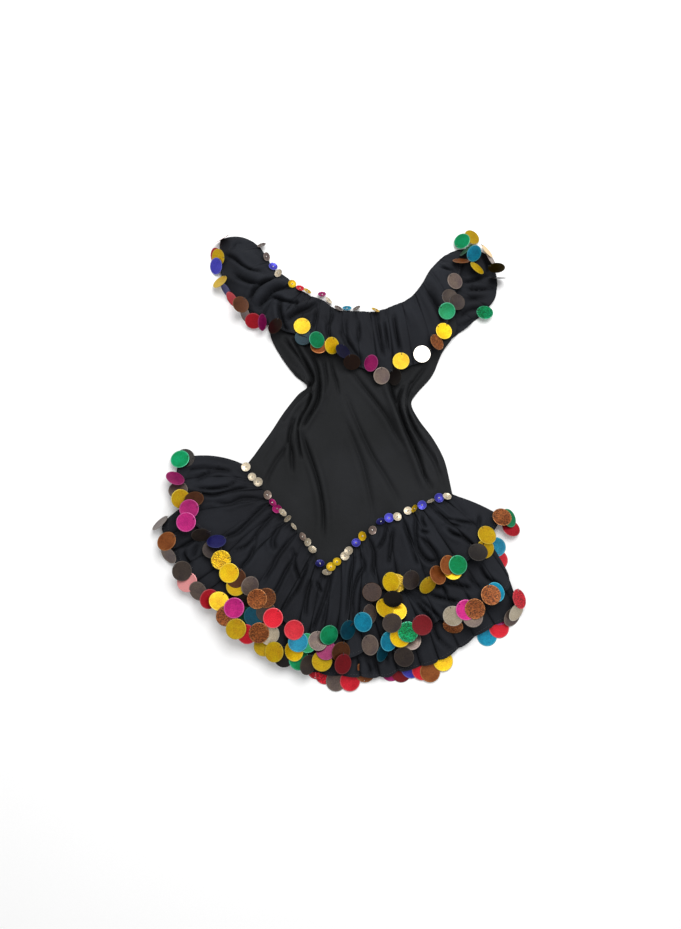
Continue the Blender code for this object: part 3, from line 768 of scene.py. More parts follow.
def cloth(lay, knits, node, plan, lift, creases, cells, reach, cut, held, rests_on):
    """Lays one sheet that stands for a CAD node. Its cut is not used."""
    u, v = np.meshgrid(np.linspace(0.0, 1.0, cells[0] + 1), down_steps(cells[1]), indexing="ij")
    flat_x, flat_y = plan(u, v)
    creased, shift_x, shift_y = creases_at(flat_x, flat_y, creases)
    inside = ramp(u, 0.0, 0.03) * ramp(1 - u, 0.0, 0.03) * ramp(v, 0.0, 0.06)
    x = flat_x + shift_x * inside
    y = flat_y + shift_y * inside
    rest = lay.rest(x, y, reach)
    own = lift(u, v, flat_x, flat_y) + creased * inside
    under = rest + SOFT_FLOOR * np.logaddexp(0.0, own / SOFT_FLOOR)
    rolled = CLOTH + HEM_ROLL * np.exp(-((v - 1.0) / (0.3 * (1 - HEM_SHARE))) ** 2)
    piece = sheet_mesh("sheet_" + node, x, y, under, rolled, lay)
    slot = "body_knit" if node.startswith("body") else "flounce_knit"
    piece.data.materials.append(knits[slot])
    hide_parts(node)
    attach(piece, "root")


NECK = Curve(columns_of(NECK_COLUMNS, NECK_ROWS, "neck_x", "neck_y"))
NECK_HEM = Curve(columns_of(NECK_COLUMNS, NECK_ROWS, "hem_x", "hem_y"))
NECK_BACK_HEM = Curve(columns_of(NECK_COLUMNS, NECK_ROWS, "back_x", "back_y"))
PUFF = Curve(columns_of(NECK_COLUMNS, NECK_ROWS, "puff"))
LEFT_SIDE = Curve(columns_of(SIDE_COLUMNS, SIDE_ROWS, "left_x", "left_y"))
RIGHT_SIDE = Curve(columns_of(SIDE_COLUMNS, SIDE_ROWS, "right_x", "right_y"))
HIP_SEAM = Curve(columns_of(SKIRT_COLUMNS, SKIRT_ROWS, "seam_x", "seam_y"))
UPPER_HEM = Curve(columns_of(SKIRT_COLUMNS, SKIRT_ROWS, "upper_x", "upper_y"))
LOWER_HEM = Curve(columns_of(SKIRT_COLUMNS, SKIRT_ROWS, "lower_x", "lower_y"))
BACK_HEM = Curve(columns_of(SKIRT_COLUMNS, SKIRT_ROWS, "back_x", "back_y"))

UPPER_GATHERS = Gathers(UPPER_GATHER_ROWS, 11)
LOWER_GATHERS = Gathers(LOWER_GATHER_ROWS, 23)
BACK_GATHERS = Gathers(BACK_GATHER_ROWS, 37)
NECK_GATHERS = Gathers(NECK_GATHER_ROWS, 41)
NECK_BACK_GATHERS = Gathers(NECK_BACK_GATHER_ROWS, 53)

# Rows of the neck table between which the body panels meet the neckline.
BODY_NECK_FIRST = 3
BODY_NECK_LAST = 14


def flounce_plan(seam, hem, gathers, bow, lap=0.0, inset=0.0):
    """Plan of a flounce from its seam to its hem, whose edge stands out at each ridge. It starts
    a lap inside the seam and ends an inset short of the hem."""
    def plan(u, v):
        across = gathers.share(gathers.drawn(u, v), v)
        row = hem.even(across)
        top = seam.at(row)
        bottom = hem.at(row)
        run = bottom - top
        run = run / np.linalg.norm(run, axis=-1, keepdims=True)
        outwards = np.stack((run[..., 1], -run[..., 0]), axis=-1)
        height, wave = gathers.wave(u)
        inside = ramp(across, 0.0, 0.04) * ramp(1 - across, 0.0, 0.04)
        scallop = SCALLOP * height * (wave - 0.5) * v * v * inside
        ends = bow[0] * ramp(BOW_SHARE - across, 0.0, BOW_SHARE)
        ends = ends - bow[1] * ramp(across, 1 - BOW_SHARE, 1.0)
        along = scallop - lap * (1 - v) - inset * v
        bowed = (ends * np.sin(np.pi * v) ** 0.7)[..., None]
        place = top + (bottom - top) * v[..., None] + run * along[..., None] + outwards * bowed
        return place[..., 0], place[..., 1]
    return plan


def body_plan(u, v):
    """Plan of a body panel: straight sections between its side edges, which follow the neckline
    at the top and the pointed hip seam at the bottom."""
    last = len(NECK_ROWS) - 1
    top = NECK.at((BODY_NECK_FIRST + (BODY_NECK_LAST - BODY_NECK_FIRST) * u) / last)
    bottom = HIP_SEAM.at(HIP_SEAM.even(u))
    across = u[..., None]
    down = v[..., None]
    top_sag = top - (1 - across) * LEFT_SIDE.at(0) - across * RIGHT_SIDE.at(0)
    bottom_sag = bottom - (1 - across) * LEFT_SIDE.at(1) - across * RIGHT_SIDE.at(1)
    section = (1 - across) * LEFT_SIDE.at(v) + across * RIGHT_SIDE.at(v)
    place = section + top_sag * (1 - down) ** 3 + bottom_sag * down ** 2.5
    return place[..., 0], place[..., 1]


def body_front_lift(u, v, x, y):
    """Air under the front panel, none at its side seams, with its folds and creases."""
    off_seam = ramp(v, 0.0, 0.12) * ramp(1 - v, 0.0, 0.08)
    air = BODY_AIR * ramp(u, 0.0, 0.10) * ramp(1 - u, 0.0, 0.10)
    inside = ramp(u, -0.02, 0.06) * ramp(1 - u, -0.02, 0.06)
    ripples = sum(height * swell(u, v, across, down, seed) for height, across, down, seed in BODY_RIPPLES)
    shaped = folds_at(x, y, BODY_FOLD_ROWS) + ripples
    height, across, reach = SEAM_TUCKS
    tucks = height * np.abs(np.sin(np.pi * (across * u + swell(u, v, 9, 2, 63))))
    return (air + shaped * inside) * off_seam + tucks * np.exp(-((1 - v) / reach) ** 2)


def body_back_lift(u, v, x, y):
    return BACK_AIR + BACK_AIR * swell(u, v, 9, 5, 64)


def flat_lift(u, v, x, y):
    return HIDDEN_AIR + HIDDEN_AIR * swell(u, v, 12, 3, 65)


def neck_front_lift(u, v, x, y):
    """Puff of the shoulders, the folds that run along them and the gathers of the neckline."""
    down = np.sin(np.pi * np.minimum(v * PUFF_REACH, 1.0)) ** 0.8
    puff = PUFF.at(NECK_HEM.even(NECK_GATHERS.share(u, v)))[..., 0] * down
    shaped = folds_at(x, y, NECK_FOLD_ROWS)
    gathered = NECK_GATHERS.lift(u, v, NECK_AT_SEAM) + NECK_GATHERS.pleats(u, v, *NECK_PLEATS)
    return np.maximum(puff, 0.0) + shaped * ramp(v, 0.0, 0.2) + gathered


def neck_back_lift(u, v, x, y):
    gathered = NECK_BACK_GATHERS.lift(u, v, HIDDEN_AT_SEAM)
    puffed = SHOULDER_PUFF * ramp(u, 0.62, 0.74) * ramp(1 - u, 0.0, 0.08) * np.sin(np.pi * v) ** 0.7
    return HIDDEN_AIR + puffed + gathered + BACK_AIR * swell(u, v, 20, 4, 66) * ramp(u, 0.5, 0.6)


def upper_front_lift(u, v, x, y):
    gathered = UPPER_GATHERS.lift(u, v, UPPER_AT_SEAM) + UPPER_GATHERS.pleats(u, v, *UPPER_PLEATS)
    return UPPER_AIR * ramp(v, 0.0, 0.2) + GATHER_SHARE * gathered


def lower_front_lift(u, v, x, y):
    """Gathers of the lower flounce, raised at the hem and where it is bunched on the right."""
    gathered = LOWER_GATHERS.lift(u, v, HIDDEN_AT_SEAM, LATE_OPENING)
    bunched = RIGHT_LOFT * ramp(x, RIGHT_LOFT_FROM, RIGHT_LOFT_TO) * ramp(1 - u, 0.0, 0.08)
    bunched = bunched * ramp(v, 0.58, 0.74)
    risen = LOWER_AIR * ramp(v, 0.3, 0.8) + LOWER_HEM_RISE * ramp(v, 0.72, 0.92)
    return risen + bunched + GATHER_SHARE * gathered


def lower_back_lift(u, v, x, y):
    """Gathers of the back flounce, raised at the hem by the paillettes under it."""
    gathered = BACK_GATHERS.lift(u, v, HIDDEN_AT_SEAM, LAST_OPENING)
    return BACK_HEM_RISE * ramp(v, 0.7, 0.85) + gathered


def make_cloth(lay, knits):
    """All eight sheets, from the floor up. A row is the node, its plan and height, its creases, its
    cells across and down, how many cells it bridges, its cut, how it is held and what it rests on."""
    for row in (
        ("neck_flounce_back", flounce_plan(NECK, NECK_BACK_HEM, NECK_BACK_GATHERS, NECK_BOW),
         neck_back_lift, NECK_BACK_CREASES, (196, 36), 2, NECK_CUT, "gathered", ()),
        ("skirt_upper_back", flounce_plan(HIP_SEAM, UPPER_HEM, UPPER_GATHERS, UPPER_BOW, inset=HIDDEN_INSET),
         flat_lift, (), (138, 22), 2, UPPER_CUT, "laid", ()),
        ("body_back", body_plan,
         body_back_lift, (), (90, 80), 2, BODY_CUT, "laid",
         ["sheet_neck_flounce_back", "sheet_skirt_upper_back"]),
        ("skirt_lower_back", flounce_plan(HIP_SEAM, BACK_HEM, BACK_GATHERS, LOWER_BOW, lap=SEAM_LAP),
         lower_back_lift, BACK_CREASES, (320, 44), 3, LOWER_CUT, "gathered", ["sheet_skirt_upper_back"]),
        ("skirt_lower_front", flounce_plan(HIP_SEAM, LOWER_HEM, LOWER_GATHERS, LOWER_BOW, lap=SEAM_LAP),
         lower_front_lift, LOWER_CREASES, (384, 50), 3, LOWER_CUT, "gathered", ["sheet_skirt_lower_back"]),
        ("body_front", body_plan,
         body_front_lift, BODY_CREASES, (190, 240), 3, BODY_CUT, "laid", ["sheet_body_back"]),
        ("skirt_upper_front", flounce_plan(HIP_SEAM, UPPER_HEM, UPPER_GATHERS, UPPER_BOW),
         upper_front_lift, UPPER_CREASES, (460, 96), 3, UPPER_CUT, "gathered", ["sheet_skirt_lower_front"]),
        ("neck_flounce_front", flounce_plan(NECK, NECK_HEM, NECK_GATHERS, NECK_BOW),
         neck_front_lift, NECK_CREASES, (360, 80), 3, NECK_CUT, "gathered",
         ["sheet_body_front", "sheet_neck_flounce_back"]),
    ):
        cloth(lay, knits, *row)


# Paillettes and sequins, read off the photograph in its pixels, the lower ones of a pile first.
# A row is x, y, colour, finish, how wide the disc looks in percent of its length, and which way its
# length points, in degrees counted anticlockwise from the right. The painted glare finish is a painted
# reflection of the lamp, not a colour of the foil.
NECK_PAILLETTES = (
    (222, 240, "red", "pale", 28, 30), (216, 256, "red", "deep", 70, 110),
    (218, 257, "yellow", "deep", 80, 110), (216, 266, "blue", "plain", 80, 100),
    (226, 290, "blue", "dark", 38, -52), (220, 282, "yellow", "deep", 65, 40),
    (232, 299, "red", "deep", 50, -50), (245, 314, "gray", "plain", 55, -65),
    (241, 305, "copper", "dark", 58, -70), (253, 320, "red", "deep", 85, 0),
    (262, 321, "magenta", "deep", 42, 85), (275, 326, "copper", "black", 80, 60),
    (303, 337, "teal", "black", 95, 0), (302, 326, "yellow", "deep", 100, 0),
    (319, 346, "copper", "bright", 90, 0), (332, 345, "yellow", "plain", 75, 85),
    (317, 340, "green", "deep", 88, 100), (343, 351, "blue", "black", 60, -50),
    (352, 361, "copper", "black", 85, 0), (371, 363, "magenta", "deep", 62, 85),
    (395, 377, "gray", "black", 70, 85), (382, 374, "gray", "plain", 100, 0),
    # The pearl at 422, 354 is painted white, a painted reflection of the lamp
    (401, 361, "yellow", "deep", 100, 0), (422, 354, "pearl", "painted_glare", 100, 0),
    (437, 342, "copper", "glitter", 75, -60), (444, 331, "yellow", "bright", 100, 0),
    (450, 297, "gray", "dark", 95, 0), (457, 302, "gray", "dark", 100, 0),
    (447, 311, "green", "deep", 100, 0), (455, 281, "gray", "plain", 100, 0),
    (461, 261, "copper", "plain", 48, 0), (477, 268, "yellow", "plain", 60, -42),
    (466, 251, "green", "dark", 30, 45), (491, 259, "gray", "bright", 48, -60),
    (487, 251, "yellow", "pale", 48, -50), (472, 237, "yellow", "deep", 85, -45),
    (475, 251, "teal", "plain", 80, 40), (462, 241, "green", "plain", 88, 60),
    (497, 267, "yellow", "black", 38, -5), (498, 278, "gray", "black", 30, 0),
    (485, 312, "green", "glitter", 88, 0),
)
UPPER_PAILLETTES = (
    (185, 458, "gray", "black", 95, 0), (180, 459, "green", "bright", 90, 15),
    (178, 490, "gray", "deep", 88, 0), (175, 478, "magenta", "deep", 55, -30),
    (181, 499, "yellow", "deep", 90, 100), (194, 499, "copper", "dark", 55, 0),
    (189, 509, "magenta", "deep", 75, 45), (186, 522, "magenta", "plain", 72, 100),
    (201, 535, "gray", "dark", 45, 12), (212, 549, "gray", "dark", 90, 0),
    (216, 541, "blue", "dark", 60, 0),
    (221, 560, "yellow", "glitter", 100, 0), (236, 586, "yellow", "deep", 100, 0),
    (236, 578, "copper", "dark", 100, 0), (229, 573, "yellow", "plain", 95, 0),
    (250, 586, "gray", "plain", 62, 80), (266, 612, "gray", "dark", 100, 0),
    (266, 598, "copper", "dim", 75, 0), (257, 599, "copper", "glitter", 85, 60),
    (273, 618, "red", "bright", 100, 0), (307, 643, "green", "deep", 80, 80),
    (298, 642, "teal", "deep", 95, 0), (294, 630, "red", "deep", 100, 0),
    (318, 641, "gray", "deep", 100, 0), (329, 635, "green", "plain", 90, 80),
    (348, 630, "teal", "dark", 65, 85), (370, 614, "gray", "deep", 70, 100),
    (363, 622, "teal", "plain", 68, 88), (372, 592, "copper", "black", 90, 0),
    (396, 583, "yellow", "dim", 90, 0), (391, 582, "yellow", "plain", 75, 85),
    (397, 611, "yellow", "plain", 85, 0), (385, 608, "yellow", "plain", 78, -45),
    (393, 599, "gray", "black", 62, -10), (392, 623, "gray", "dark", 80, 0),
    (411, 580, "gray", "dark", 72, 80), (428, 585, "yellow", "deep", 80, 50),
    (438, 575, "copper", "plain", 50, -52), (453, 570, "yellow", "plain", 100, 0),
    (448, 565, "copper", "bright", 85, 100), (458, 565, "green", "plain", 100, 0),
    (485, 549, "yellow", "deep", 95, 0), (478, 552, "gray", "black", 85, 0),
    (487, 535, "yellow", "deep", 100, 0), (511, 528, "red", "deep", 78, -25),
    (509, 518, "green", "deep", 75, -60), (502, 517, "copper", "glitter", 85, -10),
)
LOWER_PAILLETTES = (
    (187, 582, "red", "pale", 95, 60), (160, 523, "gray", "deep", 38, 39),
    (169, 555, "gray", "deep", 72, -50),
    (166, 541, "copper", "plain", 62, 105), (182, 571, "gray", "dark", 72, 100),
    (198, 591, "gray", "deep", 68, -58),
    (209, 599, "red", "deep", 80, 80), (219, 601, "yellow", "deep", 75, -28),
    (226, 616, "copper", "glitter", 85, 0), (243, 605, "gray", "black", 85, 90),
    (247, 617, "green", "dark", 80, 90), (254, 616, "teal", "dark", 65, 85),
    (234, 608, "magenta", "plain", 82, 70), (247, 634, "red", "plain", 95, 0),
    (236, 629, "yellow", "deep", 95, 0), (264, 646, "yellow", "deep", 95, 0),
    (270, 635, "pearl", "plain", 80, 80), (259, 633, "copper", "glitter", 78, 90),
    (284, 657, "gray", "black", 100, 0), (274, 652, "yellow", "deep", 85, 70),
    (299, 660, "green", "plain", 95, 0), (308, 665, "gray", "dark", 70, 85),
    (294, 651, "yellow", "bright", 92, 80), (322, 661, "yellow", "deep", 100, 0),
    (326, 650, "magenta", "dark", 90, 0), (341, 652, "copper", "dark", 70, 90),
    (343, 664, "red", "dark", 28, 92), (383, 652, "teal", "dark", 60, 75),
    (370, 645, "gray", "plain", 80, 80), (389, 641, "teal", "plain", 85, 90),
    (411, 640, "gray", "plain", 90, 0), (400, 637, "yellow", "bright", 78, 80),
    (408, 632, "green", "glitter", 72, 75), (422, 625, "red", "dark", 62, 88),
    (404, 657, "gray", "dark", 100, 0), (453, 626, "copper", "glitter", 80, -20),
    (453, 616, "pearl", "deep", 80, 100), (471, 617, "gray", "deep", 85, 0),
    (466, 610, "magenta", "plain", 85, 60), (475, 609, "copper", "glitter", 85, 10),
    (496, 592, "teal", "bright", 85, -45), (491, 595, "copper", "glitter", 85, -20),
    (512, 617, "gray", "deep", 85, 60), (516, 612, "pearl", "deep", 75, 60),
    (519, 599, "red", "glitter", 72, -65),
)
BACK_PAILLETTES = (
    (317, 669, "red", "deep"), (325, 674, "red", "glitter"), (336, 681, "gray", "deep"),
    (350, 681, "red", "plain"), (365, 672, "copper", "deep"), (391, 671, "magenta", "deep"),
    (401, 672, "red", "dark"), (411, 668, "blue", "deep"), (422, 670, "red", "plain"),
    (430, 672, "copper", "plain"), (443, 661, "yellow", "plain"), (487, 636, "teal", "plain"),
    (499, 628, "red", "plain"), (499, 615, "magenta", "deep"), (498, 560, "red", "deep"),
    (496, 547, "teal", "deep"),
)
# The small cups, in the same columns
NECK_SEQUINS = (
    (262, 246, "gray", "deep", 60, 20), (266, 257, "gray", "plain", 70, 90),
    (273, 267, "blue", "plain", 100, 0),
    (279, 274, "pearl", "plain", 85, 60), (292, 284, "yellow", "plain", 100, 0),
    (300, 289, "red", "plain", 70, -20), (307, 292, "yellow", "deep", 50, -35),
    (322, 295, "magenta", "deep", 70, 0), (328, 301, "pearl", "plain", 50, -50),
    (338, 309, "gray", "deep", 55, -30), (347, 309, "teal", "plain", 60, 0),
    (357, 309, "gray", "deep", 50, 30),
    (375, 311, "yellow", "deep", 45, -25),
)
SEAM_SEQUINS = (
    (246, 467, "pearl", "bright", 100, 0), (252, 477, "pearl", "plain", 100, 0),
    (258, 482, "pearl", "deep", 95, 0), (267, 495, "gray", "bright", 82, 100),
    (272, 503, "magenta", "deep", 60, -50), (277, 508, "magenta", "plain", 90, 0),
    (282, 513, "pearl", "plain", 50, -45), (287, 518, "pearl", "plain", 50, 45),
    (293, 527, "pearl", "plain", 28, -52), (302, 537, "gray", "bright", 60, -60),
    (307, 542, "pearl", "deep", 80, 90), (312, 550, "pearl", "deep", 70, -30),
    (320, 564, "blue", "dark", 70, 0), (327, 573, "pearl", "deep", 50, 0),
    (331, 567, "yellow", "deep", 90, 0), (337, 562, "yellow", "deep", 90, 0),
    (345, 556, "pearl", "plain", 100, 0), (349, 551, "pearl", "deep", 90, 40),
    (356, 543, "blue", "deep", 90, 0), (363, 536, "yellow", "plain", 80, 90),
    (372, 530, "gray", "bright", 90, 80), (381, 522, "blue", "dark", 60, 20),
    (389, 518, "blue", "plain", 95, 0), (397, 517, "pearl", "plain", 90, -30),
    (408, 511, "pearl", "bright", 95, 0), (415, 509, "yellow", "deep", 45, 60),
    (422, 505, "blue", "plain", 95, 0), (431, 502, "pearl", "deep", 28, 25),
    (439, 498, "blue", "deep", 95, 0), (447, 497, "pearl", "plain", 70, -10),
)

# How a finish darkens or brightens a colour, and its share of glitter and of milky film. Painted glare
# is painted light: it lifts a disc's colour to white as a painted reflection of the lamp.
FINISHES_AND_PAINTED_GLARE = {
    "plain": (0.70, 0.0, 0.0),
    "bright": (0.92, 0.0, 0.0),
    "painted_glare": (2.2, 0.0, 0.0),
    "deep": (0.50, 0.0, 0.0),
    "dark": (0.18, 0.0, 0.0),
    "black": (0.04, 0.0, 0.0),
    "glitter": (0.65, 1.0, 0.0),
    "dim": (0.30, 0.8, 0.0),
    "pale": (0.75, 0.0, 0.45),
}


def camera_ray(pixel_x, pixel_y):
    """Start and direction of the camera's ray through a pixel, in the plan's millimetres."""
    focal = CAMERA_DISTANCE / MM_PER_PIXEL
    across = (pixel_x - PHOTO_WIDTH / 2) / focal
    up = (PHOTO_HEIGHT / 2 - pixel_y) / focal
    turn = Euler((CAMERA_TILT, 0.0, 0.0)).to_matrix()
    start = turn @ Vector((0.0, 0.0, CAMERA_DISTANCE))
    return start, (turn @ Vector((across, up, -1.0))).normalized()


def seen_at(lay, pixel_x, pixel_y, height):
    """Place on the cloth under a pixel or, beside the cloth, at a height over the floor."""
    start, direction = camera_ray(pixel_x, pixel_y)
    hit = lay.tree.ray_cast(start, direction)[0]
    if hit is None:
        hit = start + direction * ((height - start.z) / direction.z)
    return hit


def round_disc(normal, radius, count):
    """Steps from a disc's middle to places at a radius round it."""
    first = normal.orthogonal().normalized()
    second = normal.cross(first)
    turns = [math.tau * k / count for k in range(count)]
    return [radius * (math.cos(turn) * first + math.sin(turn) * second) for turn in turns]


def drop_beside(normal, dx, dy, radius):
    """How far a tilted disc falls from its middle to a point beside it, or None past its edge."""
    drop = (dx * normal.x + dy * normal.y) / normal.z
    return drop if dx * dx + dy * dy + drop * drop < radius * radius else None


class Floor:
    """The bare floor, for the discs that lie under all the cloth."""

    def top(self, x, y):
        return 0.0


def tilted(tilt, way):
    """Direction that leans from straight up by a tilt, towards a way round."""
    return Vector((math.sin(tilt) * math.cos(way), math.sin(tilt) * math.sin(way), math.cos(tilt)))


class Plates:
    """The discs laid so far. Each rests on the cloth, the floor and the discs before it."""

    def __init__(self, lay):
        self.lay = lay
        self.laid = []
        self.near = []
        self.rims = []
        self.rng = np.random.default_rng(5)

    def support(self, x, y):
        """Height of what is under a point."""
        top = self.lay.top(x, y)
        for centre, normal, radius, thick, _ in self.near:
            drop = drop_beside(normal, x - centre.x, y - centre.y, radius)
            if drop is not None:
                top = max(top, centre.z - drop + thick)
        return top

    def resting(self, x, y, radius, normal):
        """Height at which the middle of a disc clears all that is under it."""
        height = self.support(x, y)
        for share, count in DISC_SAMPLES:
            for off in round_disc(normal, share * radius, count):
                height = max(height, self.support(x + off.x, y + off.y) - off.z)
        for place in self.rims:
            drop = drop_beside(normal, place.x - x, place.y - y, radius)
            if drop is not None:
                height = max(height, place.z + drop)
        return height + DISC_GAP

    def lying(self, x, y, radius):
        """A disc that lies the way it comes to rest lowest: its centre and its normal."""
        best = math.inf
        for degrees in LYING_TILTS:
            tilt = math.radians(degrees)
            for k in range(LYING_TURNS if degrees else 1):
                way = math.tau * k / LYING_TURNS
                normal = tilted(tilt, way)
                height = self.resting(x, y, radius, normal)
                middle = height + 0.5 * radius * math.sin(tilt)
                if middle < best:
                    best = middle
                    found = (Vector((x, y, height)), normal)
        return found

    def leaning(self, x, y, radius, narrow, turn):
        """A disc that leans until it looks narrow to the camera, to the side on which it comes to
        rest lower. It leans less where it would stand too high."""
        best = math.inf
        for side in (90, -90):
            tilt = math.acos(narrow / 100)
            way = math.radians(turn + side)
            for _ in range(EASINGS):
                normal = Euler((CAMERA_TILT, 0.0, 0.0)).to_matrix() @ tilted(tilt, way)
                height = self.resting(x, y, radius, normal)
                top = height + radius * math.hypot(normal.x, normal.y)
                if top < LEAN_LIMIT:
                    break
                tilt *= EASING
            if top < best:
                best = top
                found = (Vector((x, y, height)), normal)
        return found

    def place(self, ray, at, radius, thick, narrow, turn):
        """Where a disc that is seen along a ray comes to rest: its centre and its normal."""
        start, direction = ray
        self.near = [disc for disc in self.laid
                     if math.hypot(at.x - disc[0].x, at.y - disc[0].y) < radius + disc[2] + NEARBY]
        self.rims = [place for _, _, _, _, rim in self.near for place in rim]
        for _ in range(2):
            if narrow < FLAT_LOOK:
                centre, normal = self.leaning(at.x, at.y, radius, narrow, turn)
            if narrow >= FLAT_LOOK or centre.z + radius * math.hypot(normal.x, normal.y) > TOP_LIMIT:
                centre, normal = self.lying(at.x, at.y, radius)
            at = start + direction * ((centre.z - start.z) / direction.z)
        rim = [centre + off + thick * normal for off in round_disc(normal, radius, RIM_SAMPLES)]
        self.laid.append((centre, normal, radius, thick, rim))
        return centre, normal


def disc_frame(centre, normal, towards, spin=0.0):
    """Matrix of a disc: its hole, on its own Y, points towards the seam that it is sewn to."""
    forward = towards - normal * towards.dot(normal)
    forward.normalize()
    forward = Matrix.Rotation(spin, 3, normal) @ forward
    side = forward.cross(normal)
    turn = Matrix((side, forward, normal)).transposed()
    return Matrix.Translation(centre) @ turn.to_4x4()


def ring(radius, height, centre_y, count):
    turns = np.linspace(0.0, math.tau, count, endpoint=False)
    return np.stack((radius * np.cos(turns), centre_y + radius * np.sin(turns),
                     np.full(count, height)), axis=-1)


def closed_rings(rings):
    """Vertices and faces of a skin through rings of points, the last joined to the first."""
    count = len(rings[0])
    faces = []
    for k in range(len(rings)):
        here = k * count
        ahead = ((k + 1) % len(rings)) * count
        for i in range(count):
            j = (i + 1) % count
            faces.append((here + i, here + j, ahead + j, ahead + i))
    return np.concatenate(rings), faces


def paillette_shape(radius):
    """Flat round foil with an embossed ring near its edge and a thread hole off its middle."""
    half = PAILLETTE_THICK / 2
    hole_y = radius - HOLE_INSET
    upper = [ring(radius * share, half * rise, 0.0, DISC_SIDES) for share, rise in PAILLETTE_PROFILE]
    upper.append(ring(HOLE_RADIUS, half, hole_y, DISC_SIDES))
    lower = [ring(HOLE_RADIUS, -half, hole_y, DISC_SIDES)]
    lower += [ring(radius * share, -half, 0.0, DISC_SIDES) for share, _ in PAILLETTE_PROFILE[:0:-1]]
    return closed_rings(upper + lower + [ring(radius, -half * PAILLETTE_PROFILE[0][1], 0.0, DISC_SIDES)])


def sequin_shape(radius):
    """Small faceted cup with a hole in its middle."""
    turns = np.linspace(0.0, math.tau, SEQUIN_SIDES, endpoint=False)
    upper = []
    lower = []
    for share in SEQUIN_RINGS:
        cup = CUP_DEPTH * share ** 2
        flutes = FLUTE * share * np.cos(FLUTES * turns) * (share > 0.3)
        points = ring(radius * share, cup, 0.0, SEQUIN_SIDES)
        points[:, 2] += flutes
        upper.append(points + (0.0, 0.0, SEQUIN_THICK))
        lower.append(points)
    return closed_rings(upper + lower[::-1])


def bead_shape(radius):
    """Seed bead: a fat little ring."""
    rings = []
    for k in range(BEAD_RINGS):
        turn = math.tau * k / BEAD_RINGS
        across = radius * (BEAD_MIDDLE + BEAD_TUBE * math.cos(turn))
        rings.append(ring(across, radius * BEAD_HEIGHT * math.sin(turn), 0.0, BEAD_SIDES))
    return closed_rings(rings)


def thread_shape(points, radius):
    """Thread along a few points, in the plan's millimetres."""
    path = Curve([tuple(p) for p in points]).at(np.linspace(0.0, 1.0, THREAD_STEPS))
    side = Vector(path[-1] - path[0]).cross(Vector((0.0, 0.0, 1.0)))
    side = side.normalized() if side.length > 1e-6 else Vector((1.0, 0.0, 0.0))
    rings = []
    for k, place in enumerate(path):
        run = Vector(path[min(k + 1, THREAD_STEPS - 1)] - path[max(k - 1, 0)]).normalized()
        across = (side - run * side.dot(run)).normalized()
        up = run.cross(across)
        turns = [math.tau * corner / THREAD_SIDES for corner in range(THREAD_SIDES)]
        rings.append(np.array([Vector(place) + radius * (across * math.cos(t) + up * math.sin(t))
                               for t in turns]))
    vertices, faces = closed_rings(rings)
    last = THREAD_SIDES * (THREAD_STEPS - 1)
    faces = faces[:last]
    faces.append(tuple(range(THREAD_SIDES - 1, -1, -1)))
    faces.append(tuple(range(last, last + THREAD_SIDES)))
    return vertices, faces


class Batch:
    """Many small things of one material, joined in one mesh."""

    def __init__(self, name, slot, material):
        self.name = name
        self.slot = slot
        self.material = material
        self.vertices = []
        self.faces = []
        self.values = []
        self.measures = []

    def add(self, shape, matrix, values=(1.0, 0.0, 0.0)):
        vertices, faces = shape
        start = len(self.vertices)
        reach = max(vertices[:, 1].max(), 1e-6)
        for vertex in vertices:
            self.vertices.append(matrix @ Vector(vertex))
            self.measures.append((vertex[0] / reach, vertex[1] / reach))
        self.faces.extend([tuple(corner + start for corner in face) for face in faces])
        self.values.extend([values] * len(vertices))

    def build(self):
        points = np.array([tuple(v) for v in self.vertices])
        mesh = bpy.data.meshes.new(self.name)
        mesh.from_pydata(placed(*points.T).tolist(), [], self.faces)
        give_uvs(mesh, "disc", np.array(self.measures))
        finish = mesh.color_attributes.new(name="finish", type="FLOAT_COLOR", domain="POINT")
        colours = np.ones((len(points), 4), np.float32)
        colours[:, :3] = self.values
        finish.data.foreach_set("color", colours.ravel())
        mesh.materials.append(self.material)
        mesh.shade_smooth()
        mesh.set_sharp_from_angle(angle=DISC_SHARP)
        piece = in_scene(self.name, mesh)
        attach(piece, "root")
        return piece


def lay_paillettes(plates, batches, threads, rows, size, seam, outside):
    """Lays one hem's paillettes from its table, each with its stitch to the cloth."""
    radius = PAILLETTE_RADIUS[size]
    shape = paillette_shape(radius)
    for pixel_x, pixel_y, colour, finish, narrow, turn in rows:
        seen = seen_at(plates.lay, pixel_x, pixel_y, outside)
        ray = camera_ray(pixel_x, pixel_y)
        centre, normal = plates.place(ray, seen, radius, PAILLETTE_THICK, narrow, turn)
        sewn_to = seam.nearest(seen.x, seen.y)
        towards = Vector((sewn_to[0] - seen.x, sewn_to[1] - seen.y, 0.0))
        matrix = disc_frame(centre, normal, towards, plates.rng.uniform(-PAILLETTE_TURN, PAILLETTE_TURN))
        shade, glitter, milky = FINISHES_AND_PAINTED_GLARE[finish]
        shade *= plates.rng.uniform(*PAILLETTE_SHADES)
        batches[colour].add(shape, matrix, (shade, glitter, milky))
        stitch(plates.lay, threads, matrix, radius)


def stitch(lay, threads, matrix, radius):
    """Thread through a paillette's hole, over its edge and into the cloth beside it."""
    hole = radius - HOLE_INSET
    inner, over = [matrix @ Vector((0.0, hole + far, up)) for far, up in STITCH_AT_HOLE]
    edge, out = [matrix @ Vector((0.0, radius + far, up)) for far, up in STITCH_AT_EDGE]
    out.z = max(min(lay.top(out.x, out.y), edge.z), edge.z - STITCH_DROP) - STITCH_SINK
    threads.add(thread_shape((inner, over, edge, out), THREAD_RADIUS), Matrix.Identity(4))


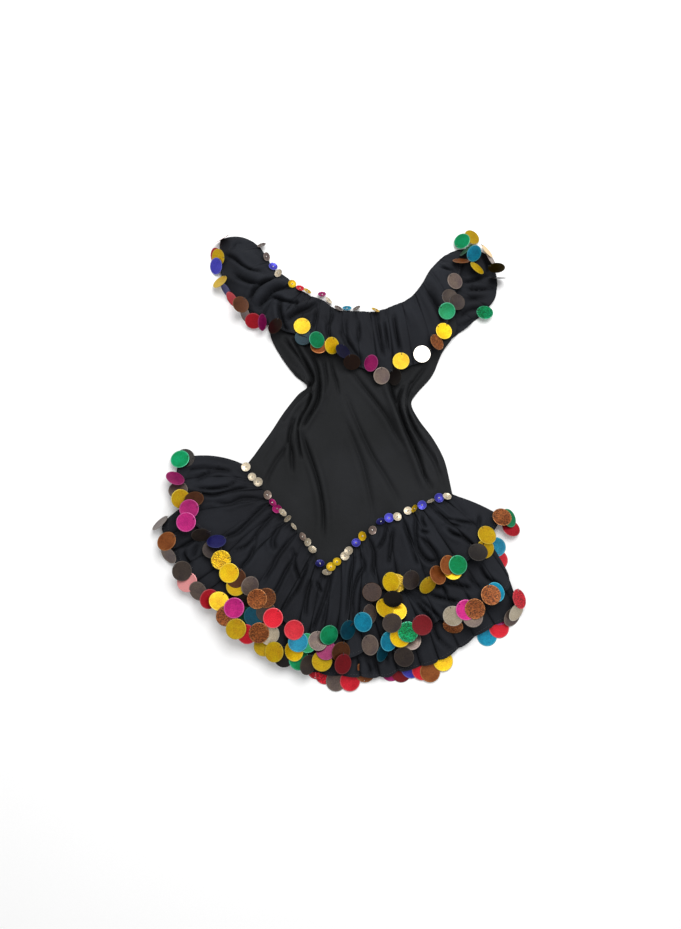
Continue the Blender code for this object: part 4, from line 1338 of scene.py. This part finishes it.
def lay_back_paillettes(batches):
    """On the floor under the back hem, each lapped over the one before."""
    radius = PAILLETTE_RADIUS["back"]
    shape = paillette_shape(radius)
    plates = Plates(Floor())
    for pixel_x, pixel_y, colour, finish in BACK_PAILLETTES:
        ray = camera_ray(pixel_x, pixel_y)
        seen = ray[0] + ray[1] * ((1.0 - ray[0].z) / ray[1].z)
        centre, normal = plates.place(ray, seen, radius, PAILLETTE_THICK, 100, 0)
        towards = BACK_HEM.nearest(seen.x, seen.y)
        pointed = Vector((towards[0] - seen.x, towards[1] - seen.y + 1.0, 0.0))
        batches[colour].add(shape, disc_frame(centre, normal, pointed), FINISHES_AND_PAINTED_GLARE[finish])


def lay_sequins(plates, batches, beads, threads, rows, outside):
    """Lays one line of small cups, each with a bead and a thread in its middle."""
    bead = bead_shape(BEAD_RADIUS)
    for pixel_x, pixel_y, colour, finish, narrow, turn in rows:
        radius = SEQUIN_RADIUS * plates.rng.uniform(*SEQUIN_SIZES)
        seen = seen_at(plates.lay, pixel_x, pixel_y, outside)
        ray = camera_ray(pixel_x, pixel_y)
        centre, normal = plates.place(ray, seen, radius, SEQUIN_THICK, narrow, turn)
        turned = plates.rng.uniform(-SEQUIN_TURN, SEQUIN_TURN)
        matrix = disc_frame(centre, normal, Vector((0.0, 1.0, 0.0)), turned)
        batches[colour].add(sequin_shape(radius), matrix, FINISHES_AND_PAINTED_GLARE[finish])
        lifted = matrix @ Matrix.Translation((0.0, 0.0, SEQUIN_THICK + BEAD_HEIGHT * BEAD_RADIUS))
        beads.add(bead, lifted)
        points = ((0.0, 0.0, -0.5), (0.0, 0.0, 1.4), (0.0, BEAD_RADIUS, 1.5), (0.0, BEAD_RADIUS + 0.6, 0.4))
        threads.add(thread_shape([lifted @ Vector(p) for p in points], THREAD_RADIUS), Matrix.Identity(4))


def hem_stitches(lay, threads, hem, seam):
    """Running stitches that hold a rolled hem down, a little way inside its edge."""
    total = hem.lengths[-1]
    at = 0.01 * total
    while at < 0.99 * total:
        ends = []
        for along in (at, at + HEM_STITCH):
            row = hem.even(along / total)
            edge = hem.at(row)
            inwards = seam.at(row) - edge
            inwards = inwards / np.linalg.norm(inwards)
            x, y = edge + inwards * HEM_STITCH_INSET
            ends.append(Vector((x, y, lay.top(x, y))))
        if min(ends[0].z, ends[1].z) > 0.5 and abs(ends[0].z - ends[1].z) < HEM_STITCH:
            middle = (ends[0] + ends[1]) / 2
            middle.z += HEM_STITCH_RISE
            threads.add(thread_shape((ends[0], middle, ends[1]), HEM_THREAD_RADIUS), Matrix.Identity(4))
        at += HEM_STITCH + HEM_STITCH_GAP


# Materials


def linear(red, green, blue):
    """Linear colour of a screen colour given from 0 to 255."""
    return tuple((c / 255 / 12.92) if c <= 10 else ((c / 255 + 0.055) / 1.055) ** 2.4
                 for c in (red, green, blue)) + (1.0,)


class Nodes:
    """Short names for building a material's nodes."""

    def __init__(self, name):
        self.material = bpy.data.materials.new(name)
        self.material.use_nodes = True
        self.tree = self.material.node_tree
        self.shader = self.tree.nodes["Principled BSDF"]

    def add(self, kind, values=None, **settings):
        node = self.tree.nodes.new(kind)
        for key, value in settings.items():
            setattr(node, key, value)
        for key, value in (values or {}).items():
            if isinstance(value, bpy.types.NodeSocket):
                self.tree.links.new(value, node.inputs[key])
            else:
                node.inputs[key].default_value = value
        return node

    def maths(self, operation, first, second=0.0):
        return self.add("ShaderNodeMath", {0: first, 1: second}, operation=operation).outputs[0]

    def blend(self, share, first, second, how="MIX"):
        inputs = {0: share, 6: first, 7: second}
        return self.add("ShaderNodeMix", inputs, data_type="RGBA", blend_type=how).outputs[2]

    def spread(self, value, low, high, to_low=0.0, to_high=1.0):
        inputs = {0: value, 1: low, 2: high, 3: to_low, 4: to_high}
        return self.add("ShaderNodeMapRange", inputs).outputs[0]

    def noise(self, place, scale, detail=2.0):
        return self.add("ShaderNodeTexNoise", {"Vector": place, "Scale": scale, "Detail": detail}).outputs[0]

    def link(self, value, socket):
        self.tree.links.new(value, self.shader.inputs[socket])

    def bump(self, height, strength, distance):
        node = self.add("ShaderNodeBump", {"Strength": strength, "Distance": distance, "Height": height})
        self.link(node.outputs[0], "Normal")

    def finish(self, **values):
        """Sets values that are the same all over on the shader, and gives the material."""
        for key, value in values.items():
            self.shader.inputs[key.replace("_", " ")].default_value = value
        return self.material


def knit_material(name, dark, light):
    """Fine jersey: rows of stitches, a soft fuzz, uneven dye, small crumples and painted shade in hollows.
    """
    nodes = Nodes(name)
    measure = nodes.add("ShaderNodeUVMap", uv_map="cloth").outputs[0]
    place = nodes.add("ShaderNodeTexCoord").outputs["Object"]
    axes = nodes.add("ShaderNodeSeparateXYZ", {0: measure})
    wobble = nodes.maths("MULTIPLY", nodes.noise(place, 120.0), 0.6)
    across = nodes.maths("MULTIPLY", axes.outputs[0], math.tau / WALE)
    wales = nodes.maths("SINE", nodes.maths("ADD", across, wobble))
    rows = nodes.maths("SINE", nodes.maths("MULTIPLY", axes.outputs[1], math.tau / STITCH_ROW))
    stitches = nodes.maths("ADD", nodes.maths("ABSOLUTE", wales), nodes.maths("MULTIPLY", rows, 0.35))
    dye = nodes.spread(nodes.noise(place, 9.0, 4.0), 0.35, 0.65)
    fuzz = nodes.spread(nodes.noise(place, 1400.0, 3.0), 0.45, 0.75)
    colour = nodes.blend(dye, linear(*dark), linear(*light))
    shade = nodes.maths("ADD", 0.80, nodes.maths("MULTIPLY", stitches, 0.16))
    shade = nodes.maths("ADD", shade, nodes.maths("MULTIPLY", fuzz, 0.20))
    # Painted shade: the base colour is darkened where ambient occlusion finds creases, hollows and discs
    # above the cloth
    occlusion_for_painted_shade = nodes.add("ShaderNodeAmbientOcclusion", {"Distance": PAINTED_SHADE_REACH}, samples=6).outputs["AO"]
    shade = nodes.maths("MULTIPLY", shade, nodes.spread(occlusion_for_painted_shade, 0.25, 0.95, PAINTED_HOLLOW_SHADE, 1.0))
    tint = nodes.add("ShaderNodeCombineColor", {0: shade, 1: shade, 2: shade}).outputs[0]
    nodes.link(nodes.blend(1.0, colour, tint, "MULTIPLY"), "Base Color")
    nodes.link(nodes.spread(fuzz, 0.0, 1.0, 0.72, 0.84), "Roughness")
    crumple = nodes.maths("MULTIPLY", nodes.noise(place, 70.0, 3.0), 2.2)
    height = nodes.maths("ADD", nodes.maths("MULTIPLY", stitches, 0.25), crumple)
    nodes.bump(nodes.maths("ADD", height, nodes.maths("MULTIPLY", fuzz, 0.12)), 0.6, 0.0006)
    return nodes.finish(Sheen_Weight=0.01, Sheen_Roughness=0.45, Sheen_Tint=(0.75, 0.78, 0.9, 1.0),
                        Specular_IOR_Level=0.08)


def foil_material(name, colour, rim, deep):
    """Paillette foil: flat film with a painted highlight ring, fine scratches and, on some, glitter flecks.
    """
    nodes = Nodes(name)
    disc = nodes.add("ShaderNodeUVMap", uv_map="disc").outputs[0]
    place = nodes.add("ShaderNodeTexCoord").outputs["Object"]
    finish = nodes.add("ShaderNodeVertexColor", layer_name="finish").outputs[0]
    parts = nodes.add("ShaderNodeSeparateColor", {0: finish})
    # The shade channel scales the foil's colour; on the painted glare disc it paints a white reflection of
    # the lamp
    shade, glitter, milky = parts.outputs[0], parts.outputs[1], parts.outputs[2]
    reach = nodes.add("ShaderNodeVectorMath", {0: disc}, operation="LENGTH").outputs["Value"]
    off_rim = nodes.maths("ABSOLUTE", nodes.maths("SUBTRACT", reach, RIM_AT))
    highlight_ring = nodes.maths("SUBTRACT", 1.0, nodes.spread(off_rim, 0.03, 0.06))
    flecks = nodes.add("ShaderNodeTexVoronoi", {"Vector": place, "Scale": FLECKS})
    fleck = nodes.add("ShaderNodeSeparateColor", {0: flecks.outputs["Color"]}).outputs[0]
    patches = nodes.spread(nodes.noise(place, 60.0, 2.0), 0.35, 0.7)
    body = nodes.blend(nodes.maths("MULTIPLY", patches, 0.75), linear(*colour), linear(*deep))
    # Painted highlight: a paler ring of colour where the embossed ring would catch the light
    body = nodes.blend(nodes.maths("MULTIPLY", highlight_ring, 0.55), body, linear(*rim))
    sparkle = nodes.spread(fleck, 0.0, 1.0, 0.25, 1.6)
    bright = nodes.add("ShaderNodeMix", {0: glitter, 2: 1.0, 3: sparkle}, data_type="FLOAT").outputs[0]
    speckle = nodes.spread(nodes.noise(place, 650.0, 3.0), 0.3, 0.7, 0.74, 1.22)
    tone = nodes.maths("MULTIPLY", nodes.maths("MULTIPLY", shade, bright), speckle)
    tint = nodes.add("ShaderNodeCombineColor", {0: tone, 1: tone, 2: tone}).outputs[0]
    toned = nodes.blend(1.0, body, tint, "MULTIPLY")
    nodes.link(nodes.blend(milky, toned, linear(*MILK)), "Base Color")
    nodes.link(nodes.spread(nodes.noise(place, 500.0, 2.0), 0.3, 0.7, 0.28, 0.42), "Roughness")
    scratches = nodes.maths("MULTIPLY", nodes.noise(place, 600.0, 2.0), 0.12)
    facets = nodes.maths("MULTIPLY", nodes.maths("MULTIPLY", fleck, glitter), 0.45)
    nodes.bump(nodes.maths("ADD", scratches, facets), 0.35, 0.0002)
    return nodes.finish(Metallic=0.45, Specular_IOR_Level=0.22, Coat_Weight=0.03, Coat_Roughness=0.12)


def thread_material():
    """Black polyester thread with its twist."""
    nodes = Nodes("sewing_thread")
    place = nodes.add("ShaderNodeTexCoord").outputs["Object"]
    twist = nodes.noise(place, 2500.0, 1.0)
    nodes.link(nodes.blend(twist, linear(26, 26, 30), linear(62, 62, 68)), "Base Color")
    nodes.bump(twist, 0.5, 0.0001)
    return nodes.finish(Roughness=0.55, Sheen_Weight=0.2)


def bead_material():
    """Clear glass seed bead with a silver lining."""
    nodes = Nodes("sequin_bead")
    place = nodes.add("ShaderNodeTexCoord").outputs["Object"]
    lining = nodes.spread(nodes.noise(place, 300.0, 2.0), 0.4, 0.6)
    nodes.link(nodes.blend(lining, linear(190, 188, 180), linear(240, 236, 224)), "Base Color")
    nodes.link(nodes.spread(lining, 0.0, 1.0, 0.12, 0.25), "Roughness")
    return nodes.finish(Metallic=0.6, Coat_Weight=0.8)


def floor_material():
    nodes = Nodes("floor")
    place = nodes.add("ShaderNodeTexCoord").outputs["Object"]
    grain = nodes.spread(nodes.noise(place, 900.0, 3.0), 0.3, 0.7)
    nodes.link(nodes.blend(grain, linear(251, 251, 251), linear(254, 254, 254)), "Base Color")
    return nodes.finish(Roughness=0.9)


# Stage


def make_stage():
    mesh = bpy.data.meshes.new("floor")
    half = FLOOR_SIZE / 2
    corners = [(-half, -half, FLOOR_DROP), (half, -half, FLOOR_DROP), (half, half, FLOOR_DROP),
               (-half, half, FLOOR_DROP)]
    mesh.from_pydata(corners, [], [(0, 1, 2, 3)])
    mesh.materials.append(floor_material())
    floor = in_scene("floor", mesh)


def make_lights():
    """A pale room all round and a large soft lamp above."""
    world = bpy.data.worlds.new("room")
    world.use_nodes = True
    world.node_tree.nodes["Background"].inputs[0].default_value = (1.0, 1.0, 1.0, 1.0)
    world.node_tree.nodes["Background"].inputs[1].default_value = ROOM_LIGHT
    bpy.context.scene.world = world
    for name, power, size, place in LAMPS:
        lamp = bpy.data.lights.new(name, "AREA")
        lamp.energy = power
        lamp.size = size
        light = in_scene(name, lamp)
        light.location = place
        light.rotation_euler = (-Vector(place)).to_track_quat("-Z", "Y").to_euler()
    bpy.context.scene.view_settings.view_transform = "Standard"


def make_camera():
    data = bpy.data.cameras.new("camera")
    data.sensor_width = SENSOR
    data.lens = CAMERA_DISTANCE / MM_PER_PIXEL * SENSOR / PHOTO_HEIGHT
    camera = in_scene("camera", data)
    start, _ = camera_ray(PHOTO_WIDTH / 2, PHOTO_HEIGHT / 2)
    camera.location = placed(*start)
    camera.rotation_euler = (CAMERA_TILT, 0.0, 0.0)
    bpy.context.scene.camera = camera


# Making


def make_sewn(lay):
    """Paillettes, sequins, beads and thread, each colour joined in one piece."""
    foils = {colour: foil_material("foil_" + colour, *tones) for colour, tones in FOIL_COLOURS.items()}
    discs = {colour: Batch("paillettes_" + colour, "paillette_" + colour, foils[colour])
             for colour in FOIL_COLOURS}
    cups = {colour: Batch("sequins_" + colour, "paillette_" + colour, foils[colour])
            for colour in ("blue", "gray", "magenta", "pearl", "red", "teal", "yellow")}
    beads = Batch("sequin_beads", "sequin_bead", bead_material())
    threads = Batch("stitches", "sewing_thread", thread_material())
    plates = Plates(lay)
    # The last value is the height over the floor of a piece that the photograph shows beside the cloth
    lay_back_paillettes(discs)
    lay_paillettes(plates, discs, threads, LOWER_PAILLETTES, "lower", HIP_SEAM, 5.0)
    lay_paillettes(plates, discs, threads, UPPER_PAILLETTES, "upper", HIP_SEAM, 8.0)
    lay_sequins(plates, cups, beads, threads, SEAM_SEQUINS, 10.0)
    lay_paillettes(plates, discs, threads, NECK_PAILLETTES, "neck", NECK, 6.0)
    lay_sequins(plates, cups, beads, threads, NECK_SEQUINS, 8.0)
    for hem, seam in ((NECK_HEM, NECK), (UPPER_HEM, HIP_SEAM), (LOWER_HEM, HIP_SEAM), (BACK_HEM, HIP_SEAM)):
        hem_stitches(lay, threads, hem, seam)
    for batch in (*discs.values(), *cups.values(), beads, threads):
        batch.build()


def main():
    lay = Lay()
    knits = {
        "body_knit": knit_material("body_knit", *BODY_DYES),
        "flounce_knit": knit_material("flounce_knit", *FLOUNCE_DYES),
    }
    make_cloth(lay, knits)
    make_sewn(lay)
    make_stage()
    make_lights()
    make_camera()


main()
